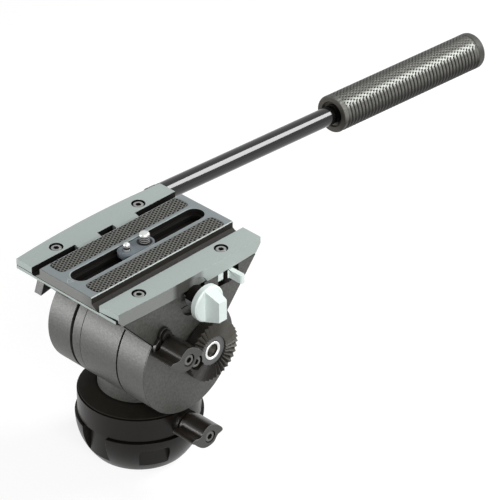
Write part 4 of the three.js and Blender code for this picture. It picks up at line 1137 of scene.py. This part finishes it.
def far_rosette():
    """Far rosette, behind the handle's hub."""
    disc = rosette("far_rosette_disc", -37.3, -1, 4.4)
    dress(soften(disc, 0.13, 2, 30), "tilt_body", "black_paint", rosette_black, "far_rosette")


def clamp_knob():
    """White knob that clamps the plate: a disc with an upright blade."""
    at, foot = CLAMP_AT, 50
    knob = turned("plate_clamp_knob", "x", [
        (0, foot), (9.8, foot), (11, foot + 1), (11, 54.1), (10.1, 55), (0, 55),
    ], at)
    outline = [(-3.9, -10.1), (3.9, -10.1), (3.9, 10.1), (-3.9, 10.1)]
    blade = slab("blade", "x", outline, 54.7, BLADE_END, at)
    pick(blade, lambda spot: spot.x > 60)
    middle = Vector((BLADE_END, CLAMP_Y, CLAMP_HEIGHT)) * MM
    bpy.ops.transform.resize(value=(1, 0.77, 0.64), center_override=middle)
    mode("OBJECT")
    join(knob, blade, rod("collar", "x", 6.4, 41.8, 51, at), rod("shaft", "x", 4, 31.6, 51, at))
    dress(soften(knob, 0.6, 3, 22), "clamp_knob_body", "white_plastic", white_plastic, "clamp_knob")
    neck = foot - 0.1
    # Painted shade: the collar in the pocket is grey, and its upper side near black as shadow
    paint_faces(knob, knob_collar_painted_shade, lambda spot, normal: spot.x < neck)
    paint_faces(knob, recess_shade_black, lambda spot, normal: spot.x < neck and normal.z > 0.1)


def release_latch():
    """White latch that lets the plate out at its back."""
    outline = [
        (-1.6, 3.1), (-1.6, -7.4), (1.4, -7.4), (1.4, -3.4), (0.2, -2.6), (1, -0.1),
        (11.6, -0.1), (12.4, 0.5), (12.6, 2), (11.8, 3.1),
    ]
    foot, top, at = 118.3, 123.6, (LATCH_X, LATCH_Y, 0)
    latch = slab("plate_release_latch", "z", outline, foot, top, at)
    join(latch, rod("latch_hub", "z", 2.8, foot, top, at))
    cut(latch, rod("pin_hole", "z", 1.9, 115, 130, at, FINE_ROUND))
    dress(soften(latch, 0.45, 3, 20), "latch", "white_plastic", white_plastic, "release_latch")
    # Painted shade on the latch's end inside the slot
    paint_faces(latch, recess_shade_black, lambda spot, normal: spot.x < 42.2 and spot.y > 28.6)


# Plate


def sliding_plate():
    """Camera plate with its slot, pad seats, chamfers and a small mark at its front."""
    half = [(25.2, PLATE_FOOT), (21.05, 131.3), (21.05, 134.8), (20.55, PLATE_TOP)]
    section = half + [(-x, z) for x, z in reversed(half)]
    plate = slab("camera_plate", "y", section, -54, 56)
    cut(
        plate,
        slab("slot", "z", obround(6, -48, 52), 131.9, ABOVE),
        slab("slot_through", "z", obround(4, -46, 50), UNDER, ABOVE),
        slab("slot_rim", "z", obround(6.45, -48.45, 52.45), 135.15, ABOVE),
        slab("near_seat", "z", rounded_box(8.7, 20.3, -48.3, 51.3, 3.3), PAD_SEAT, ABOVE),
        slab("far_seat", "z", rounded_box(-20.3, -8.7, -48.3, 51.3, 3.3), PAD_SEAT, ABOVE),
    )
    mark = slab("mark", "z", [(-2.6, -49.2), (2.6, -49.2), (0, -52.8)], 135.15, ABOVE)
    cut(mark, slab("mark_core", "z", [(-1.6, -49.8), (1.6, -49.8), (0, -52)], 130, 141))
    cut(plate, mark)
    dress(soften(plate, 0.25, 1), "plate", "plate_metal", plate_metal, "sliding_plate")
    # Painted shade on the front end of the plate, darker towards its near side
    paint_faces(plate, plate_front, lambda at, normal: at.y < -53.8 and normal.y < -0.8)
    # Painted shade: a dark line along the top front edge
    paint_faces(plate, recess_shade_black, lambda at, normal: at.y < -53.8 and 0.3 < normal.z < 0.95)
    paint_faces(plate, edge_metal, is_plate_edge)
    # Painted shade: the sloped and upright sides of the plate are near black
    paint_faces(plate, plate_side_shade, lambda at, normal: abs(at.x) > 20.9 and abs(normal.x) > 0.3)
    # Painted shade on the walls of the slot
    paint_faces(plate, channel_shade_and_dark_metal, is_slot_wall)


def is_plate_edge(at, normal):
    """Chamfers along the sides of the plate, and the narrow rim round its slot."""
    side = at.z > 134.7 and 0.3 < normal.z < 0.95 and abs(normal.x) > 0.3 and abs(at.x) > 20
    rim = 135.1 < at.z < 135.2 and normal.z > 0.8 and abs(at.x) < 7
    return side or rim


def is_slot_wall(at, normal):
    inside = abs(at.x) < 6.1 and -48.2 < at.y < 52.2 and at.z < 135.1
    return inside and (abs(normal.z) < 0.3 or at.z < 132.2)


def plate_ticks():
    """Scale ticks every five millimetres along the near flange."""
    outline = [(24.9, 128.84), (22.4, 130.43), (22.37, 130.4), (24.87, 128.81)]
    tick = slab("tick", "y", outline, -0.45, 0.45)
    twins = [copied(tick, f"tick_{i}") for i in range(21)]
    for i, twin in enumerate(twins):
        moved(twin, (0.04, -49 + 5 * i, 0.04))
    ticks = join_loose("flange_ticks", twins + [tick])
    dress(soften(ticks, 0), "plate", "black_paint", black_steel_and_shade)


def join_loose(name, parts):
    """Several parts in one object, each still a shell of its own."""
    only(parts[0])
    for part in parts[1:]:
        part.select_set(True)
    bpy.ops.object.join()
    return named(parts[0], name)


def pads():
    """Rubber pads of the plate."""
    for name, start, end in (("near_pad", 9, 20), ("far_pad", -20, -9)):
        pad = slab(name + "_rubber", "z", rounded_box(start, end, -48, 51, 3, 8), 134.25, 135.65)
        soften(pad, 0.25, 3)
        dress(pad, "plate", "pad_rubber", pad_rubber, name)


def carriage():
    """Carriage of the camera screw and the video pin, in the plate's slot."""
    piece = slab("screw_carriage_block", "z", obround(5.6, -12.5, 12.5), 132.3, CARRIAGE_TOP)
    join(
        piece,
        slab("lower", "z", obround(3.6, -10.5, 10.5), CARRIAGE_FOOT, 134.6),
        rod("bush", "z", 4.4, 132.3, 135.6, VIDEO_PIN_AT),
    )
    cut(
        piece,
        rod("screw_hole", "z", 3.5, UNDER, ABOVE, CAMERA_SCREW_AT),
        rod("collar_room", "z", 4.6, 133.6, ABOVE, CAMERA_SCREW_AT),
        rod("pin_hole", "z", 2.4, UNDER, ABOVE, VIDEO_PIN_AT, 32),
    )
    dress(soften(piece, 0.2, 2), "carriage", "plate_metal", carriage_metal, "screw_carriage")


def camera_screw():
    """Camera screw with its collar and its worn thread."""
    crest, root = 3.1, 2.6
    profile = [
        (0, CARRIAGE_FOOT), (crest, CARRIAGE_FOOT), (crest, 133.9), (4.2, 133.9),
        (4.2, CARRIAGE_TOP), (2.75, CARRIAGE_TOP),
    ]
    for height in (135.2, 136.4, 137.6):
        profile += [(crest, height), (crest, height + 0.5), (root, height + 0.9)]
    profile += [(crest, 138.8), (crest, 139.6), (2.95, 140.2), (2.5, 140.7), (1.7, 141), (0, 141.1)]
    screw = turned("camera_thread", "z", profile, CAMERA_SCREW_AT, SMALL_ROUND)
    dress(soften(screw, 0), "screw", "steel", steel, "camera_screw")
    # Near black at the foot of the screw, and painted shade in its thread roots
    paint_faces(screw, black_steel_and_shade, lambda at, normal: at.z < 135)
    paint_faces(screw, black_steel_and_shade, is_thread_root)


def is_thread_root(at, normal):
    return at.z < 138.9 and math.hypot(at.x, at.y - CAMERA_SCREW_Y) < 2.95


def video_pin():
    """Video pin with its neck and its round tip."""
    tip = [(2, 139.2)] + arc((0, 138.5), 2, 20, 90, 8)
    pin = turned("video_pin_rod", "z", [
        (0, 130.8), (2, 130.8), (2, 136.7), (1.5, 136.9), (1.5, 137.6), (2, 137.9)
    ] + tip, VIDEO_PIN_AT, SMALL_ROUND)
    dress(soften(pin, 0), "pin", "steel", steel, "video_pin")
    # Painted shade on the pin's neck
    paint_faces(pin, black_steel_and_shade, lambda at, normal: 136.75 < at.z < 137.8)


# Handle


def on_handle(piece):
    """Puts a piece from the handle's own frame on the far rosette, sloping with the rod."""
    return moved(piece, ROSETTE_AT, HANDLE_SLOPE)


def handle_arm():
    """Cranked arm with its hub on the far rosette."""
    arm = turned("handle_arm_casting", "x", [
        (0, -59.3), (15, -59.3), (16, -58.3), (16, -46.9), (15.4, -46.1), (0, -46.1),
    ])
    low, high = HANDLE_CRANK - ROD_RADIUS, HANDLE_CRANK + 4.14
    outline = [(-11.3, 11.3), (11.3, -11.3), (55.7, low), (55.7, high), (48, high)]
    join(
        arm,
        slab("arm_plate", "x", outline, -57.5, -48.5),
        rod("arm_neck", "y", ROD_RADIUS, 48, 56, ROD_AT),
        rod("arm_spigot", "y", 4.35, 50, 80, ROD_AT),
    )
    cut(arm, rod("bolt_hole", "x", 4.4, -70, -40))
    soften(arm, 0.8, 3)
    dress(on_handle(arm), "handle", "black_paint", lever_black, "handle_arm")


def handle_rod():
    """Glossy tube of the handle."""
    bore, start, end = 4.65, 56.3, GRIP_END - 21.2
    shaft = turned("handle_tube", "y", [
        (bore, start), (5.45, start), (ROD_RADIUS, 56.7), (ROD_RADIUS, end), (bore, end),
        (bore, start),
    ], ROD_AT)
    soften(shaft, 0)
    dress(on_handle(shaft), "handle", "black_gloss", rod_black, "handle_rod")


def groove_depth(spot):
    """Share of the full groove depth at a point of the grip, before it is tilted."""
    if not KNURL_START < spot.y < KNURL_END or is_inside(spot):
        return 0
    turn = math.atan2(spot.z - HANDLE_CRANK, spot.x - HANDLE_X)
    slanted = spot.y + min(SLANT_SPAN, max(0, turn - SLANT_START)) * SLANT_LEAD
    height = math.sin(slanted * 2 * math.pi / GROOVE_PITCH)
    if SLANT_START < turn < SLANT_START + SLANT_SPAN:
        height = max(height, math.sin(turn * DASHES + spot.y * math.pi / GROOVE_PITCH))
    return 0.5 - 0.5 * height


def is_inside(spot):
    return math.hypot(spot.z - HANDLE_CRANK, spot.x - HANDLE_X) < GRIP_RADIUS - 0.5


def is_grip_mouth(spot, normal):
    y, z = spot.y - ROSETTE_Y, spot.z - ROSETTE_HEIGHT
    along = y * math.cos(HANDLE_SLOPE) + z * math.sin(HANDLE_SLOPE)
    return along < GRIP_START + 2.3 and normal.y < -0.5


def press_in(piece, share, depth):
    """Sinks a skin by a share of a depth that a function gives for each point."""
    group = piece.vertex_groups.new(name="pressed")
    for vertex in piece.data.vertices:
        weight = share(vertex.co / MM)
        if weight > 0:
            group.add([vertex.index], weight, "REPLACE")
    sink = {"direction": "NORMAL", "vertex_group": group.name, "mid_level": 0}
    modify(piece, "DISPLACE", strength=-depth * MM, **sink)
    piece.vertex_groups.clear()


def grip():
    """Rubber grip with a knurled middle, plain collars and its end cap."""
    seam, bore, mouth = GRIP_END - 7, 6.15, GRIP_START + 2.4
    step = (KNURL_END - KNURL_START) / KNURL_RINGS
    rings = [(GRIP_RADIUS, KNURL_START + step * i) for i in range(KNURL_RINGS + 1)]
    sleeve = turned("grip_rubber_sleeve", "y", [
        (bore, mouth), (7.7, GRIP_START + 1.6), (8, GRIP_START + 0.4), (8.4, GRIP_START),
        (GRIP_RADIUS - 1.1, GRIP_START), (GRIP_RADIUS - 0.3, GRIP_START + 0.3),
        (GRIP_RADIUS, GRIP_START + 1.1),
    ] + rings + [(GRIP_RADIUS, seam), (bore, seam), (bore, mouth)], ROD_AT, 6 * DASHES)
    press_in(sleeve, groove_depth, GROOVE_DEPTH)
    soften(sleeve, 0)
    dress(on_handle(sleeve), "handle", "grip_rubber", grip_rubber, "grip_sleeve")
    paint_faces(sleeve, grip_plain, is_grip_mouth)
    rim = arc((GRIP_RADIUS - 3, GRIP_END - 3), 3, 0, 90, 8)
    cap = turned("grip_cap_rubber", "y", [
        (0, seam - 5.7), (5.85, seam - 5.7), (5.85, seam + 0.3), (GRIP_RADIUS - 0.35, seam + 0.3),
        (GRIP_RADIUS, seam + 0.7),
    ] + rim + [(0, GRIP_END)], ROD_AT)
    soften(cap, 0)
    dress(on_handle(cap), "handle", "grip_rubber", cap_rubber, "grip_end_cap")


def handle_knob():
    """Winged knob that clamps the handle on its rosette."""
    reach = 26
    shares = [(-0.3, -0.1), (-0.68, -0.11), (-1, -0.17), (-0.89, 0.13), (-0.5, 0.33), (-0.15, 0.36)]
    half = [(u * reach, v * reach) for u, v in shares]
    wings = slab("handle_wing_knob", "x", half + [(-y, -z) for y, z in half], -72.1, -66.3)
    join(wings, rod("knob_hub", "x", 8.5, -72.1, -59.7))
    cut(wings, rod("knob_bore", "x", 4.3, -66.2, -50, sides=FINE_ROUND))
    soften(wings, 0.6, 3, 25)
    moved(wings, ROSETTE_AT)
    dress(wings, "handle_knob", "black_paint", lever_black, "handle_clamp_knob")


def plain_nodes():
    """Solids whose shape stays: bolts, studs, bearings and other parts held inside."""
    finishes = {
        steel: (
            "ball_bolt", "pan_hub", "tilt_shaft", "counterbalance_spring", "pan_lock_stud",
            "tilt_lock_stud", "handle_clamp_bolt",
        ),
        bronze: (
            "pan_bearing", "near_tilt_bearing", "far_tilt_bearing", "pan_brake_shoe",
            "tilt_brake_shoe",
        ),
        channel_shade_and_dark_metal: (
            "near_drag_cartridge", "far_drag_cartridge", "clamp_bar", "latch_pin", "latch_spring",
        ),
    }
    for finish, names in finishes.items():
        for name in names:
            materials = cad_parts[name].data.materials
            materials.clear()
            materials.append(finish.material)


# Studio


def camera():
    """Camera at the place and angle of the photograph."""
    azimuth, elevation, focal, distance = math.radians(44.5), math.radians(33.05), 3350, 1806
    target = Vector((89.75, 0, 173.1))
    level = math.cos(elevation)
    back = Vector((
        level * math.sin(azimuth), -level * math.cos(azimuth), math.sin(elevation),
    ))
    data = bpy.data.cameras.new("photo_camera")
    data.sensor_width = SENSOR_WIDTH
    data.lens = focal * SENSOR_WIDTH / PHOTO_PIXELS
    data.clip_start, data.clip_end = 0.1, 20
    eye = bpy.data.objects.new("photo_camera", data)
    bpy.context.scene.collection.objects.link(eye)
    eye.location = (target + back * distance) * MM
    eye.rotation_euler = (-back).to_track_quat("-Z", "Y").to_euler()
    bpy.context.scene.camera = eye


def soft_box(name, place, aim, size, power):
    """Rectangular soft light that looks at a point."""
    data = bpy.data.lights.new(name, "AREA")
    data.shape, data.energy = "RECTANGLE", power
    data.size, data.size_y = size
    light = bpy.data.objects.new(name, data)
    bpy.context.scene.collection.objects.link(light)
    light.location = place
    light.rotation_euler = (Vector(aim) - Vector(place)).to_track_quat("-Z", "Y").to_euler()


def seen_rays(tree):
    """One for camera, glossy and transmission rays, nought for all others."""
    path = tree.nodes.new("ShaderNodeLightPath")
    seen = path.outputs["Is Camera Ray"]
    for ray in ("Is Glossy Ray", "Is Transmission Ray"):
        either = tree.nodes.new("ShaderNodeMath")
        either.operation = "MAXIMUM"
        tree.links.new(seen, either.inputs[0])
        tree.links.new(path.outputs[ray], either.inputs[1])
        seen = either.outputs[0]
    return seen


def studio():
    """Pale floor and soft lights."""
    select_none()
    bpy.ops.mesh.primitive_plane_add(size=14, location=(0, 0, -0.0004))
    floor = named(bpy.context.object, "studio_floor")
    pale = Finish("studio_white", (0.2, 0.2, 0.2), 0.9, 0.0, 0.1)
    pale.cover(pale.spread(pale.noise(900), 0.3, 0.7, 0.995, 1.005))
    pale.shader.inputs["Emission Color"].default_value = (1, 1, 1, 1)
    glow = pale.times(seen_rays(pale.tree), FLOOR_GLOW)
    pale.link(glow, pale.shader.inputs["Emission Strength"])
    floor.data.materials.append(pale.material)
    head = (0, 0, 0.09)
    soft_box("key_left", (-0.75, -0.9, 0.2), head, (0.5, 0.45), 10.5)
    soft_box("fill_right", (1.1, -0.5, 0.6), head, (0.8, 0.8), 13)
    soft_box("top_soft", (0.1, 0.1, 1.5), head, (1.3, 1.3), 1)
    soft_box("back_right", (0.28, 0.68, 0.59), (-0.055, 0.2, 0.037), (0.4, 0.4), 7)


def surround():
    """Plain white surround, bright where it is seen and dim as a light."""
    world = bpy.data.worlds.new("studio_surround")
    bpy.context.scene.world = world
    world.use_nodes = True
    sky = world.node_tree
    background = sky.nodes["Background"]
    level = sky.nodes.new("ShaderNodeMapRange")
    level.inputs["To Min"].default_value = SURROUND_GLOW
    level.inputs["To Max"].default_value = 1.0
    sky.links.new(seen_rays(sky), level.inputs["Value"])
    sky.links.new(level.outputs["Result"], background.inputs["Strength"])
    background.inputs["Color"].default_value = (1, 1, 1, 1)
    bpy.context.scene.view_settings.view_transform = "Standard"


camera()
studio()
surround()
half_ball()
base_ring()
top_cover()
centre_housing()
drum_ring()
near_frame()
face_line()
far_frame()
platform()
near_rail()
far_rail()
rail_screws()
lock_lever("pan", PAN_LEVER_X, 0, PAN_LEVER_HEIGHT, 7)
lock_lever("tilt", TILT_LEVER_X, TILT_LEVER_Y, TILT_LEVER_HEIGHT, 4.2)
tilt_boss()
near_rosette()
far_rosette()
clamp_knob()
release_latch()
sliding_plate()
plate_ticks()
pads()
carriage()
camera_screw()
video_pin()
handle_arm()
handle_rod()
grip()
handle_knob()
plain_nodes()
